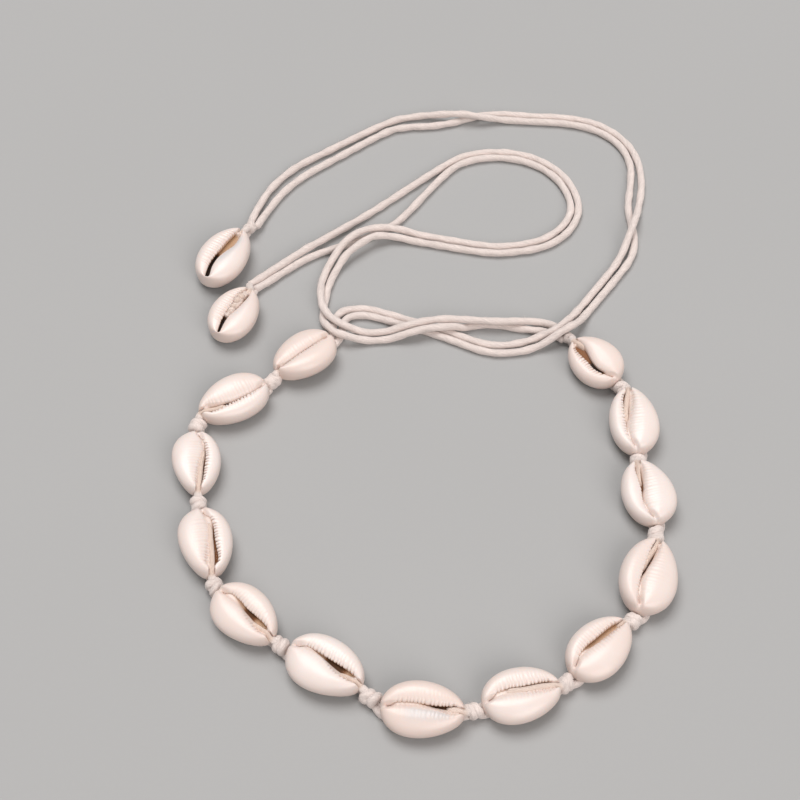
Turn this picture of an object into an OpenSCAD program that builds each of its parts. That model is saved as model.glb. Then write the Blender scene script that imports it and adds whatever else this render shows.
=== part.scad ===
// Shell choker laid open on a table. Thirteen cowries with their backs sawn off lie slit side up on
// a doubled cotton cord, which is knotted between them. Past the first and the last shell the two
// strands go on as a tie, and each tie ends in one more cowrie.
// +Z is up and z = 0 is the table. The origin is the middle of the collar of thirteen shells.

/* [Shells] */
// Length of a middling cowrie, tip to tip
shell_length = 20; // [18:0.5:21]
// Width of a middling cowrie
shell_width = 13.6; // [12:0.2:14.4]
// Height of the half that is left, from the sawn back to the lips
shell_height = 5.2; // [5:0.1:6.4]
// Width of the slit halfway along
slit_width = 0.9; // [0.6:0.1:1.4]

/* [Cord] */
// Thickness of one strand of the cotton cord
cord_d = 2; // [1.6:0.1:2]

/* [Knots] */
// Thickness of a knot between two shells
knot_d = 4.4; // [4:0.1:4.6]
// Length of that knot along the cord where the shells leave it room
knot_l = 4; // [3:0.1:4.4]

/* [Hidden] */
// A row for each cowrie: the middle of its sawn back, the way its wide slit end points in
// degrees, its roll towards the inside of the collar in degrees, its length and width against
// the middling shell, how far its slit lies to the inside of its middle, and how wide the slit is
// against the middling one
X = 0;
Y = 1;
HEADING = 2;
ROLL = 3;
LONG = 4;
WIDE = 5;
SLIT = 6;
OPEN = 7;
COLLAR = [
    [-30.0, 49.5, 215, -4, 0.91, 0.99, 0.4, 0.8],
    [-48.0, 35.5, 207, 8, 0.96, 0.94, 1.3, 0.8],
    [-56.3, 16.0, 276, 8, 0.90, 0.90, 1.6, 1.3],
    [-52.4, -7.2, 282, 8, 0.95, 0.96, 1.3, 1.8],
    [-41.5, -26.6, 316, -6, 0.93, 0.96, 0.5, 1.3],
    [-22.2, -40.0, 330, -4, 0.98, 1.01, 0.8, 1.1],
    [0.2, -50.6, 354, -12, 0.98, 0.96, 0.5, 0.8],
    [22.8, -47.2, 13, -4, 0.94, 0.96, 0.5, 1.8],
    [41.6, -35.5, 44, 0, 0.96, 0.94, 1.3, 1.2],
    [54.5, -16.3, 74, -4, 1.02, 1.03, 1.3, 1],
    [56.5, 7.2, 99, 4, 0.91, 0.97, 1.3, 0.8],
    [54.8, 28.7, 92, 6, 0.98, 0.92, 1.4, 1.5],
    [46.3, 47.7, 128, 12, 0.83, 0.94, 1.7, 1.2],
];
// The shell at the end of the left tie and the one at the end of the right tie
LEFT_SHELL = [-53.2, 83.2, 62, 0, 1.00, 0.98, 0.5, 1.8];
RIGHT_SHELL = [-49.2, 63.4, 62, 0, 0.88, 0.94, 0.5, 1.8];

// Route of each strand of the ties, along the middle of the strand. The ties cross three times:
// beside the first shell, in the middle and beside the last shell.
TIE_LEFT_UPPER = [
    [-23.3, 58.1, 1.0], [-22.9, 60.6, 1.0], [-22.6, 63.6, 1.0], [-20.6, 66.3, 1.0],
    [-17.0, 67.3, 1.0], [-12.5, 67.0, 1.0], [-3.5, 63.8, 1.0], [6.0, 60.4, 1.0],
    [15.5, 56.2, 1.0], [21.0, 55.0, 1.0], [26.0, 55.6, 1.0], [30.0, 56.7, 1.2],
    [33.2, 57.7, 2.2], [36.0, 58.4, 3.3], [38.6, 60.4, 3.5], [41.2, 63.8, 2.4],
    [44.4, 68.6, 1.1], [53.4, 81.2, 1.0], [56.6, 86.8, 1.7], [58.6, 91.6, 3.1],
    [60.6, 97.0, 3.1], [62.4, 103.4, 1.0], [64.0, 112.0, 1.0], [63.8, 120.6, 1.0],
    [61.4, 127.8, 1.0], [56.8, 133.4, 1.0], [50.6, 137.2, 1.0], [42.5, 139.0, 1.0],
    [33.5, 139.6, 1.0], [25.0, 140.4, 1.0], [18.0, 139.6, 1.0], [11.5, 137.2, 1.0],
    [4.5, 135.6, 1.0], [-3.0, 135.0, 1.0], [-9.4, 132.8, 1.0], [-25.0, 121.5, 1.0],
    [-32.6, 115.6, 1.0], [-38.2, 109.4, 1.0], [-42.4, 102.0, 1.2], [-44.6, 97.0, 1.8],
];
TIE_LEFT_LOWER = [
    [-21.1, 57.9, 1.0], [-20.5, 59.9, 1.0], [-20.3, 62.2, 1.0], [-18.8, 64.4, 1.0],
    [-16.0, 65.1, 1.0], [-12.0, 64.6, 1.0], [-3.0, 61.4, 1.0], [6.0, 58.0, 1.0],
    [15.5, 53.7, 1.0], [21.0, 52.5, 1.0], [26.4, 52.9, 1.0], [30.6, 54.0, 1.3],
    [34.0, 55.3, 2.4], [37.0, 56.8, 3.9], [40.2, 58.8, 4.4], [42.8, 61.6, 2.9],
    [46.0, 66.6, 1.1], [55.4, 79.6, 1.0], [59.0, 85.6, 1.0], [60.4, 91.8, 1.0],
    [59.8, 97.6, 1.0], [59.6, 104.4, 1.0], [60.8, 112.0, 1.0], [61.4, 119.8, 1.0],
    [59.4, 126.8, 1.0], [55.2, 131.8, 1.0], [49.6, 135.0, 1.0], [42.0, 136.8, 1.0],
    [33.5, 137.4, 1.0], [25.0, 138.0, 1.2], [18.5, 137.8, 2.7], [12.5, 138.4, 3.2],
    [5.5, 139.2, 2.0], [-1.5, 139.2, 1.0], [-9.4, 136.4, 1.0], [-27.0, 124.8, 1.0],
    [-35.0, 119.0, 1.0], [-41.2, 111.8, 1.0], [-44.8, 104.2, 1.2], [-46.7, 97.8, 1.8],
];
TIE_RIGHT_UPPER = [
    [39.4, 58.3, 1.6], [37.4, 60.7, 1.0], [34.2, 62.4, 1.0], [30.5, 62.3, 2.0],
    [26.0, 61.6, 3.1], [20.5, 61.4, 3.2], [8.5, 61.9, 3.6], [2.5, 61.3, 3.7],
    [-3.0, 60.2, 3.1], [-8.5, 59.3, 1.6], [-13.5, 59.1, 1.2], [-17.0, 59.4, 2.2],
    [-19.8, 60.1, 3.3], [-22.2, 61.6, 3.4], [-24.2, 63.6, 3.3], [-25.8, 66.6, 3.2],
    [-26.4, 70.0, 2.9], [-26.5, 73.6, 2.3], [-26.2, 77.2, 1.2], [-24.8, 81.6, 1.3],
    [-22.6, 85.6, 2.5], [-19.8, 89.8, 3.1], [-15.8, 93.0, 3.2], [-11.0, 94.4, 3.2],
    [-5.0, 94.6, 2.2], [2.0, 93.2, 1.0], [18.5, 89.7, 1.0], [26.5, 89.7, 1.0],
    [34.6, 91.9, 1.0], [40.4, 96.6, 1.0], [43.2, 102.6, 1.0], [42.4, 109.4, 1.0],
    [38.8, 116.0, 1.0], [32.0, 121.0, 1.0], [23.5, 122.9, 1.0], [15.0, 121.6, 1.0],
    [8.2, 116.6, 1.0], [-4.6, 99.6, 1.0], [-10.6, 94.8, 1.0], [-17.0, 91.2, 1.0],
    [-30.0, 85.4, 1.0], [-41.0, 76.6, 1.2], [-44.0, 73.9, 1.6],
];
TIE_RIGHT_LOWER = [
    [38.1, 56.6, 1.6], [35.9, 58.7, 1.0], [32.6, 59.8, 1.0], [25.0, 61.0, 1.0],
    [20.0, 61.9, 1.0], [15.0, 61.6, 1.0], [12.4, 60.6, 1.5], [9.4, 59.8, 3.0],
    [6.0, 59.5, 3.2], [2.0, 59.0, 3.2], [-2.5, 57.9, 2.8], [-7.5, 57.1, 1.2],
    [-12.5, 56.6, 1.0], [-16.4, 56.5, 2.0], [-19.6, 56.8, 3.1], [-22.6, 58.1, 3.2],
    [-24.6, 60.7, 2.4], [-25.5, 62.8, 1.4], [-25.7, 65.6, 1.0], [-25.2, 70.8, 1.0],
    [-24.6, 74.4, 1.0], [-23.6, 78.0, 1.0], [-22.0, 81.6, 1.4], [-19.6, 85.2, 2.7],
    [-16.0, 88.6, 3.1], [-11.8, 91.4, 3.1], [-6.0, 92.1, 1.8], [1.0, 90.8, 1.0],
    [18.0, 87.3, 1.0], [27.0, 87.4, 1.0], [35.8, 89.7, 1.0], [42.2, 95.0, 1.0],
    [45.4, 102.4, 1.0], [44.5, 110.2, 1.0], [40.2, 117.8, 1.0], [32.6, 123.2, 1.0],
    [23.2, 125.1, 1.0], [13.6, 123.4, 1.0], [5.0, 117.4, 1.0], [-13.0, 102.0, 1.0],
    [-26.6, 91.2, 1.6], [-31.6, 86.8, 2.4], [-42.5, 77.9, 1.9], [-45.6, 75.4, 1.8],
];

cord_r = cord_d / 2;
gap = 0.1;
// How far each of two strands side by side lies from their middle
strand_side = cord_r + gap / 2;
tie_steps = 2;
shell_sections = 24;
cord_sides = 8;

// How far the outline is fuller at the tail than at the head, on the lip and the lobe side
egg_lip = 0.07;
egg_lobe = 0.18;
// Half length of the slit and outline of the hollow, against the outline of the shell
slit_reach = 0.86;
hollow = 0.8;
// The slit's half width grows by this much for each half length towards the head, and by the
// flare where the cord goes in
slit_taper = 0.25;
slit_flare = 0.6;
flare_start = 0.75;
flare_ramp = 0.1;
// Heights of the notches that the slit makes in the two tips, against the lips. They span the
// outline's points up to this sine of their angle and end this much further on.
head_notch = 0.13;
tail_notch = 0.72;
notch_half = 0.25;
notch_ramp = 0.4;
// Wall of a cowrie from the outer sawn edge up over the lip and down to the inner sawn edge.
// Each point lies between two outlines, and has its height against the lips.
OUTER_WALL = [[0.84, 0], [0.96, 0.22], [1, 0.46]];
TOP_WALL = [[0.92, 0.76], [0.72, 0.94], [0.4, 1], [0.1, 0.94], [0, 0.82]];
INNER_WALL = [[0.12, 0.7], [0.55, 0.72], [1, 0.5]];
inner_sawn_edge = 0.66;

// Way of the front strand from the head notch into the slit, along the shell against its length
// and above its sawn back against its lips
INTO_SLIT = [[0.36, 0.5], [0.24, 0.3]];
over_notch = 0.48;
// Places along the shell where the strands run under it
UNDER_SHELL = [0.02, -0.2, -0.45];
under_head = 0.46;
under_middle = 0.24;
// Height of a collar knot's middle, room between it and a tip, how far above and below its middle
// the strands meet it at a head, and how far below at a tail
knot_z = 2.2;
knot_room = 0.45;
head_rise = 1.2;
tail_drop = 1.1;
// Gap between the ends of two strands that lead into one another
end_gap = 0.6;

end_knot_d = 3.2;
end_knot_l = 3;
end_knot_spot = [40.1, 56.5];
end_knot_heading = 142;
end_knot_z = 2;
left_tie_knot_d = 3.4;
left_tie_knot_l = 3;
left_tie_knot_spot = [-46.8, 95.0];
left_tie_knot_heading = 57;
left_tie_knot_z = 2.6;
// Lumps of the knot that fills the wide end of the slit in the right tie's shell
stop_knot_d = 1.5;
stop_knot_height = 0.74;
stop_knot_lumps = [0.26, 0.2, 0.14, 0.08, 0.02];

function long(s) = s[LONG] * shell_length;
function wide(s) = s[WIDE] * shell_width;
function high(s) = (s[LONG] + s[WIDE]) / 2 * shell_height;
function clamp(t) = min(1, max(0, t));

// Outline of a cowrie from above, a being 0 at the head and 90 on the lip side
function outline(s, a) =
    let (egg = sin(a) > 0 ? egg_lip : egg_lobe)
    [long(s) / 2 * cos(a), wide(s) / 2 * sin(a) * (1 - egg * cos(a))];
// Middle line and half width of the slit, u being 1 at the head and -1 at the tail
function slit_middle(s, u) = s[SLIT] * (1 - 0.4 * u - 0.8 * u * u + 0.7 * u * u * u);
function slit_half(s, u) =
    s[OPEN] * slit_width / 2 + slit_taper * u
        + slit_flare * clamp((u - flare_start) / flare_ramp);
function slit_outline(s, a) =
    [long(s) / 2 * slit_reach * cos(a),
     slit_middle(s, cos(a)) + slit_half(s, cos(a)) * sign(sin(a)) * clamp(abs(sin(a)) * 4)];
function notch(a) =
    let (low = cos(a) > 0 ? head_notch : tail_notch)
    low + (1 - low) * clamp((abs(sin(a)) - notch_half) / notch_ramp);

function between(a, b, t) = a * (1 - t) + b * t;
function raised(flat, z, s, a) =
    [flat.x, flat.y, z * high(s) * notch(a)];
function wall(s, a) =
    let (o = outline(s, a), c = slit_outline(s, a))
    concat(
        [for (p = OUTER_WALL) raised(o * p[0], p[1], s, a)],
        [for (p = TOP_WALL) raised(between(c, o, p[0]), p[1], s, a)],
        [for (p = INNER_WALL) raised(between(c, o * hollow, p[0]), p[1], s, a)],
        [raised(o * inner_sawn_edge, 0, s, a)]
    );

// A closed band of sections that have the same number of points each
module band(sections) {
    n = len(sections);
    m = len(sections[0]);
    polyhedron(
        points = [for (section = sections) each section],
        faces = [
            for (i = [0:n - 1]) for (j = [0:m - 1])
                let (a = i * m + j, b = i * m + (j + 1) % m)
                let (c = (i + 1) % n * m + j, d = (i + 1) % n * m + (j + 1) % m)
                each [[a, b, c], [b, d, c]]
        ]
    );
}

// The cord runs under every cowrie, so its sawn back stands above the table
function lift(s) =
    cord_r * (1 + 1 / cos(s[ROLL])) + strand_side * tan(abs(s[ROLL])) + gap;

module cowrie(s) {
    color("antiquewhite")
        translate([s[X], s[Y], lift(s)])
            rotate([0, 0, s[HEADING]]) rotate([-s[ROLL], 0, 0])
                band([for (i = [0:shell_sections - 1]) wall(s, 360 * i / shell_sections)]);
}

// A point given along a cowrie, to its lip side and above its sawn back
function turned(p, a) = [p.x * cos(a) - p.y * sin(a), p.x * sin(a) + p.y * cos(a)];
function on_shell(s, p) =
    let (y = p.y * cos(s[ROLL]) + p.z * sin(s[ROLL]), z = p.z * cos(s[ROLL]) - p.y * sin(s[ROLL]))
    let (flat = turned([p.x, y], s[HEADING]) + [s[X], s[Y]])
    [flat.x, flat.y, z + lift(s)];

// A knot sits halfway between the head of one cowrie and the tail of the next
function tip(s, side) = [s[X], s[Y]] + turned([side * long(s) / 2, 0], s[HEADING]);
function knot_spot(i) = (tip(COLLAR[i], 1) + tip(COLLAR[i + 1], -1)) / 2;
function knot_heading(i) =
    let (d = tip(COLLAR[i + 1], -1) - tip(COLLAR[i], 1), h = COLLAR[i][HEADING])
    let (across = (atan2(d.y, d.x) - h + 540) % 360 - 180)
    let (turn = (COLLAR[i + 1][HEADING] - h + 540) % 360 - 180)
    h + (across + turn / 2) / 2;
function knot_length(i) =
    min(knot_l, norm(tip(COLLAR[i + 1], -1) - tip(COLLAR[i], 1)) - 2 * knot_room);

module knot(spot, heading, d, l, z) {
    lump = min(l, d) / 4;
    color("linen")
        translate([spot.x, spot.y, z]) rotate([0, 90, heading])
            rotate_extrude($fn = 24) union() {
                translate([0, -l / 2]) square([d / 2 - lump, l]);
                translate([0, lump - l / 2]) square([d / 2 - lump * 0.7, l - 2 * lump]);
                for (side = [-1, 1])
                    translate([d / 2 - lump, side * (l / 2 - lump)]) circle(lump);
            }
}

// Where a strand ends at a knot's face, at a height and to the side of the knot's axis
function knot_end(spot, heading, l, side, z, beside) =
    let (flat = spot + turned([side * (l / 2 + gap), beside], heading))
    [flat.x, flat.y, z];
// At the head of a cowrie the strands leave the knot one above the other, and at its tail side
// by side. At the tail of the first cowrie they meet the left tie.
function head_end(i, side) =
    i < len(COLLAR) - 1
        ? knot_end(knot_spot(i), knot_heading(i), knot_length(i), -1,
                   knot_z + side * head_rise, 0)
        : knot_end(end_knot_spot, end_knot_heading, end_knot_l, -1,
                   end_knot_z + side * strand_side, 0);
// Directions in which the strands leave the knot at a head and meet the one at a tail
function against(heading) = [-cos(heading), -sin(heading), 0];
function head_way(i) = against(i < len(COLLAR) - 1 ? knot_heading(i) : end_knot_heading);
function tail_way(i) =
    i > 0 ? against(knot_heading(i - 1)) : unit(TIE_LEFT_UPPER[1] - TIE_LEFT_UPPER[0]);
function tail_end(i, beside) =
    i > 0
        ? knot_end(knot_spot(i - 1), knot_heading(i - 1), knot_length(i - 1), 1,
                   knot_z - tail_drop, beside)
        : before(beside > 0 ? TIE_LEFT_LOWER : TIE_LEFT_UPPER);
// Just off the first or the last point of a tie's route
function before(route) = route[0] + end_gap * unit(route[0] - route[1]);
function beyond(route) =
    let (n = len(route) - 1) route[n] + end_gap * unit(route[n] - route[n - 1]);

// The front strand goes over the notch at the head and into the slit
function front_strand(s, start) =
    let (m = slit_middle(s, 1), top = high(s) * head_notch + cord_r + gap)
    concat(
        [start, on_shell(s, [long(s) * over_notch, m, top])],
        [for (p = INTO_SLIT)
            on_shell(s, [long(s) * p[0], slit_middle(s, 2 * p[0]), high(s) * p[1]])]
    );
// The back strand runs under the shell
function back_strand(s, start) =
    let (low = -cord_r - gap)
    [
        start,
        on_shell(s, [long(s) * under_head, 0, low]),
        on_shell(s, [long(s) * under_middle, -strand_side / 2, low]),
        on_shell(s, [long(s) * UNDER_SHELL[0], -strand_side, low])
    ];
// Both come out under the tail
function strand_out(s, side, finish) =
    concat(
        [for (x = UNDER_SHELL) if (x < 0) on_shell(s, [long(s) * x, side, -cord_r - gap])],
        [finish]
    );

// A smooth line through a route's points, with this many steps between two of them. It stays
// as high as a strand that lies on the table.
function curve_at(p, i, t) =
    let (n = len(p) - 1, a = p[max(0, i - 1)], b = p[i], c = p[min(n, i + 1)], d = p[min(n, i + 2)])
    0.5 * (2 * b + (c - a) * t + (2 * a - 5 * b + 4 * c - d) * t * t
        + (3 * b - a - 3 * c + d) * t * t * t);
function on_table(p) = [p.x, p.y, max(p.z, cord_r)];
function smooth(p, steps) = [
    for (i = [0:len(p) - 2]) for (k = [0:steps - 1]) on_table(curve_at(p, i, k / steps)),
    on_table(p[len(p) - 1])
];
function unit(v) = v / norm(v);
function way(p, i) = unit(p[min(len(p) - 1, i + 1)] - p[max(0, i - 1)]);
// Sideways direction at each ring, carried along so that the tube never twists
function sideways(ways, i = 0, last = undef) =
    let (t = ways[i], v = is_undef(last) ? cross([0, 0, 1], t) : last - (last * t) * t)
    let (here = unit(v))
    i == len(ways) - 1 ? [here] : concat([here], sideways(ways, i + 1, here));

// A strand along a route. Its ends can be cut square to a direction of their own.
module strand(route, steps, first = undef, last = undef) {
    p = smooth(route, steps);
    n = len(p);
    m = cord_sides;
    ways = concat(
        [is_undef(first) ? way(p, 0) : first],
        [for (i = [1:n - 2]) way(p, i)],
        [is_undef(last) ? way(p, n - 1) : last]
    );
    side = sideways(ways);
    color("linen")
        polyhedron(
            points = [
                for (i = [0:n - 1]) let (up = cross(ways[i], side[i])) for (j = [0:m - 1])
                    p[i] + cord_r * (cos(360 * j / m) * side[i] + sin(360 * j / m) * up)
            ],
            faces = concat(
                [[for (j = [0:m - 1]) j]],
                [[for (j = [0:m - 1]) n * m - 1 - j]],
                [for (i = [0:n - 2]) for (j = [0:m - 1])
                    let (a = i * m + j, b = i * m + (j + 1) % m)
                    each [[a, a + m, b], [b, a + m, b + m]]]
            )
        );
}

module shell(number) { cowrie(COLLAR[number - 1]); }
module collar_cord(number) {
    i = number - 1;
    s = COLLAR[i];
    through = [on_shell(s, [long(s) * UNDER_SHELL[0], strand_side, 0])];
    strand(concat(front_strand(s, head_end(i, 1)), through,
                  strand_out(s, strand_side, tail_end(i, strand_side))),
           1, head_way(i), tail_way(i));
    strand(concat(back_strand(s, head_end(i, -1)),
                  strand_out(s, -strand_side, tail_end(i, -strand_side))),
           1, head_way(i), tail_way(i));
}
module collar_knot(number) {
    i = number - 1;
    knot(knot_spot(i), knot_heading(i), knot_d, knot_length(i), knot_z);
}
module end_knot() {
    knot(end_knot_spot, end_knot_heading, end_knot_d, end_knot_l, end_knot_z);
}
module tie(route) { strand(route, tie_steps); }
module left_tie_knot() {
    knot(left_tie_knot_spot, left_tie_knot_heading, left_tie_knot_d, left_tie_knot_l,
         left_tie_knot_z);
}
// The two strands' ends at a tie's cowrie, one into its slit and one under it
module left_tie_ends() {
    s = LEFT_SHELL;
    for (over = [1, -1]) {
        start = knot_end(left_tie_knot_spot, left_tie_knot_heading, left_tie_knot_l, -1,
                         left_tie_knot_z + over * strand_side, 0);
        strand(over > 0 ? front_strand(s, start) : back_strand(s, start), 1,
               against(left_tie_knot_heading));
    }
}
module right_tie_ends() {
    s = RIGHT_SHELL;
    strand(front_strand(s, beyond(TIE_RIGHT_LOWER)), 1);
    strand(back_strand(s, beyond(TIE_RIGHT_UPPER)), 1);
}
module stop_knot() {
    s = RIGHT_SHELL;
    color("linen")
        for (x = stop_knot_lumps)
            translate(on_shell(s, [long(s) * x, slit_middle(s, 2 * x),
                                   high(s) * stop_knot_height]))
                sphere(d = stop_knot_d, $fn = 16);
}

shell(1);  // shell_01
shell(2);  // shell_02
shell(3);  // shell_03
shell(4);  // shell_04
shell(5);  // shell_05
shell(6);  // shell_06
shell(7);  // shell_07
shell(8);  // shell_08
shell(9);  // shell_09
shell(10);  // shell_10
shell(11);  // shell_11
shell(12);  // shell_12
shell(13);  // shell_13
collar_cord(1);  // cord_01
collar_cord(2);  // cord_02
collar_cord(3);  // cord_03
collar_cord(4);  // cord_04
collar_cord(5);  // cord_05
collar_cord(6);  // cord_06
collar_cord(7);  // cord_07
collar_cord(8);  // cord_08
collar_cord(9);  // cord_09
collar_cord(10);  // cord_10
collar_cord(11);  // cord_11
collar_cord(12);  // cord_12
collar_cord(13);  // cord_13
collar_knot(1);  // knot_01
collar_knot(2);  // knot_02
collar_knot(3);  // knot_03
collar_knot(4);  // knot_04
collar_knot(5);  // knot_05
collar_knot(6);  // knot_06
collar_knot(7);  // knot_07
collar_knot(8);  // knot_08
collar_knot(9);  // knot_09
collar_knot(10);  // knot_10
collar_knot(11);  // knot_11
collar_knot(12);  // knot_12
end_knot();
tie(TIE_LEFT_UPPER);  // tie_left_upper
tie(TIE_LEFT_LOWER);  // tie_left_lower
tie(TIE_RIGHT_UPPER);  // tie_right_upper
tie(TIE_RIGHT_LOWER);  // tie_right_lower
left_tie_knot();  // tie_left_knot
left_tie_ends();  // tie_left_ends
cowrie(LEFT_SHELL);  // tie_left_shell
right_tie_ends();  // tie_right_ends
stop_knot();  // tie_right_stop
cowrie(RIGHT_SHELL);  // tie_right_shell
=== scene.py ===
import math
import random
from collections import namedtuple

import bmesh
import bpy
import numpy as np
from bpy.props import FloatProperty, FloatVectorProperty, IntProperty, PointerProperty
from bpy.types import NodeSocket, Operator, Panel, PropertyGroup
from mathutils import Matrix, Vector


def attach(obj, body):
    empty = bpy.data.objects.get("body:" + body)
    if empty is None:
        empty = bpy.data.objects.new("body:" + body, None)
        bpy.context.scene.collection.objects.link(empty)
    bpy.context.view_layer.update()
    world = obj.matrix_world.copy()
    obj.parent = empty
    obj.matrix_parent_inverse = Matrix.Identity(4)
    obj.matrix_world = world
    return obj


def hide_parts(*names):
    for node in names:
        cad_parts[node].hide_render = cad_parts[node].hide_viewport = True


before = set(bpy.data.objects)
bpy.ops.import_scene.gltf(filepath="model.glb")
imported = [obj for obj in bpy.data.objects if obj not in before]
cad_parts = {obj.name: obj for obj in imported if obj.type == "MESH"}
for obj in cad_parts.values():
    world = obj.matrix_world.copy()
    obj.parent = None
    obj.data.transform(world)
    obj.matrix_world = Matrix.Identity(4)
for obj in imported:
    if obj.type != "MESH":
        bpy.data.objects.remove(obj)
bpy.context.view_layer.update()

bl_info = {
    "name": "Shell choker",
    "version": (1, 0, 0),
    "blender": (4, 5, 0),
    "location": "View3D > Sidebar > Choker",
    "description": "Cowries knotted on a doubled cotton cord, laid open with its two ties",
    "category": "Add Mesh",
}

BODY = "root"

Row = namedtuple("Row", "x y heading tilt long wide lip lobe curl dive lean lip_ribs lobe_ribs"
                 " reach pits pearl warm hole ledge", defaults=(-0.15,))

# Where the two edges of a slit are given, against half the length of the cowrie
EDGE_AT = (0.9, 0.6, 0.3, 0.0, -0.3, -0.6, -0.9)

# Each cowrie: x and y of the middle of its sawn back, heading of its head and tilt in degrees,
# length and width against the middling one. lip and lobe: the slit's edges at EDGE_AT, in
# millimetres towards the lip side. curl: how far the lobe rolls in under the slit, tailwards of
# where its inside is painted dark and from there on. dive, lean: where the strand goes out of
# sight, and how far it lies to the lip side there. Then how strong the ribs are on the lip and on
# the lobe, how far these reach, how deep the teeth are cut on both, how grey blue the lobe is (the
# end cowries' own grey blue, on cowrie 7 partly a painted reflection) and how warm the shell.
# Then from where to where the inside of the slit is painted dark as shade, how dark it is painted
# there and how dark nearer the head. ledge: where a ledge of the lobe begins to close the slit
# towards the tail. Places along a cowrie run from 1 at the head to -1.
COLLAR = [
    Row(-0.03, 0.0495, 215, -4, 0.91, 0.99,
        (1, 1.1, 0.8, 0.5, 0.2, -0.1, -0.8), (0.3, 0.6, 0.4, 0.15, -0.15, -0.5, -1.2),
        (1, 1), 0.95, 0.5, 0.1, 0.45, 0.55, (0.6, 0), 0, 0.9, (9, 9, 0, 0)),
    Row(-0.048, 0.0355, 207, 8, 0.96, 0.94,
        (1.4, 1.9, 1.7, 1.6, 1.4, 1, -0.1), (-0.8, 0, 0.9, 1.2, 1.05, 0.6, -0.5),
        (1, 0.2), 0.32, 0.78, 0.2, 0.65, 0.6, (0.95, 0), 0, 0.5, (0.16, 0.42, 1, 0)),
    Row(-0.0563, 0.016, 276, 8, 0.9, 0.9,
        (0.8, 1.4, 1.8, 2.2, 2.2, 1.7, 0.8), (-0.5, -0.1, 0.3, 0.9, 1.6, 1.45, 0.6),
        (0.9, 0.6), -0.25, 0.25, 0.35, 0.65, 0.4, (1.3, 0.6), 0, 0.1, (0.05, 0.92, 0.65, 0)),
    Row(-0.0524, -0.0072, 282, 8, 0.95, 0.96,
        (1.2, 2.1, 2.1, 2.1, 2.2, 1.8, 0.7), (-0.9, -0.7, 0, 0.5, 0.8, 0.5, -0.3),
        (1, 0.7), -0.45, 0.3, 0.3, 0.65, 0.4, (1.4, 0.8), 0, 0.3, (-0.3, 0.85, 0.5, 0), -0.2),
    Row(-0.0415, -0.0266, 316, -6, 0.93, 0.96,
        (0.8, 1.2, 1.2, 1.1, 1.4, 1.2, 0.6), (-0.9, -1, -0.6, -0.1, 0.2, 0.1, -0.2),
        (0.5, 0.4), 0.4, 0.12, 0.3, 0.3, 0.15, (0.45, 0.9), 0, 0.7, (-0.05, 0.35, 0.75, 0)),
    Row(-0.0222, -0.04, 330, -4, 0.98, 1.01,
        (0.5, 1, 1.1, 1.3, 1.6, 1.6, 0.8), (-0.9, -0.8, -0.4, 0.5, 1.1, 1.1, 0.4),
        (0.5, 0.4), 0.45, 0.12, 0.4, 0.3, 0.15, (0.6, 0.9), 0, 0.2, (-0.05, 0.5, 0.85, 0)),
    Row(0.0002, -0.0506, 354, -12, 0.98, 0.96,
        (1.4, 0.9, 0.7, 0.9, 1, 0.8, 0.2), (-0.9, -0.6, 0, 0.2, 0.3, 0, -0.8),
        (1, 0.6), 0.62, 0.5, 0.3, 0.5, 0.5, (0.6, 0), 0.8, 1, (0.2, 0.62, 0.8, 0), 0.22),
    Row(0.0228, -0.0472, 13, -4, 0.94, 0.96,
        (1, 1.3, 1.3, 1.3, 1.5, 1.1, 0.3), (-0.7, -0.7, -0.5, -0.3, 0.1, 0, -0.8),
        (1, 1), -0.35, 0.46, 0.5, 0.5, 0.15, (0.65, 1), 0, 0.45, (9, 9, 0, 0)),
    Row(0.0416, -0.0355, 44, 0, 0.94, 0.96,
        (1.1, 1.6, 1.8, 1.9, 2.1, 1.6, 0.6), (-0.1, 0.4, 0.5, 0.8, 1.1, 1.1, 0.3),
        (0.15, 0.15), 0.8, 0.4, 0.45, 0.6, 0.12, (0.6, 0.8), 0, 0.6, (9, 9, 0, 0)),
    Row(0.0545, -0.0163, 74, -4, 1.02, 1.03,
        (0.5, 1, 1.5, 1.8, 2, 1.8, 1.3), (-1.2, -0.7, -0.1, 0.9, 1.3, 1, 0.2),
        (1, 0.25), 0.05, 1, 0.2, 0.45, 0.35, (0.4, 0), 0, 0.6, (-0.1, 0.5, 0.85, 0)),
    Row(0.0565, 0.0072, 99, 4, 0.91, 0.97,
        (1.5, 1.8, 1.7, 1.7, 2, 1.8, 0.3), (-0.2, -0.1, 0.4, 1, 1.65, 1.35, 0),
        (1, 0.3), 0.25, 0.9, 0.15, 0.7, 0.6, (0.35, 0), 0, 0.1, (-0.05, 0.4, 0.6, 0)),
    Row(0.0548, 0.0287, 92, 6, 0.98, 0.92,
        (1, 1.9, 2.1, 2.1, 2.2, 1.8, 0.6), (-0.5, -0.4, 0, 0.7, 1.3, 1.3, 0.2),
        (1, 0.45), -0.1, 0.86, 0.25, 0.65, 0.5, (1.3, 0.4), 0, 0.15, (-0.1, 0.6, 0.5, 0)),
    Row(0.0463, 0.0477, 128, 12, 0.83, 0.94,
        (0.8, 1.8, 2.1, 2.2, 2.4, 1.6, 0), (-0.6, -0.5, 0.1, 0.9, 1.2, 0.6, -0.6),
        (0.12, 0.12), 0.5, 0.1, 0.3, 0.1, 0.2, (3, 0), 0, 0.8, (-0.58, 0, 1, 0.45), -0.48),
]
LEFT_SHELL = Row(-0.0532, 0.0832, 62, 0, 1, 0.98,
    (0.7, 0.9, 1.1, 1.15, 1.25, 1.1, 0.4), (-0.6, -1.2, -1.4, -0.4, 0.3, 0.1, -0.8),
    (0.05, 0.05), 0.75, 0.15, 0.9, 0.2, 0.2, (0.6, 0.4), 0.8, 0.35, (-1.1, -0.1, 1, 0))
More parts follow.
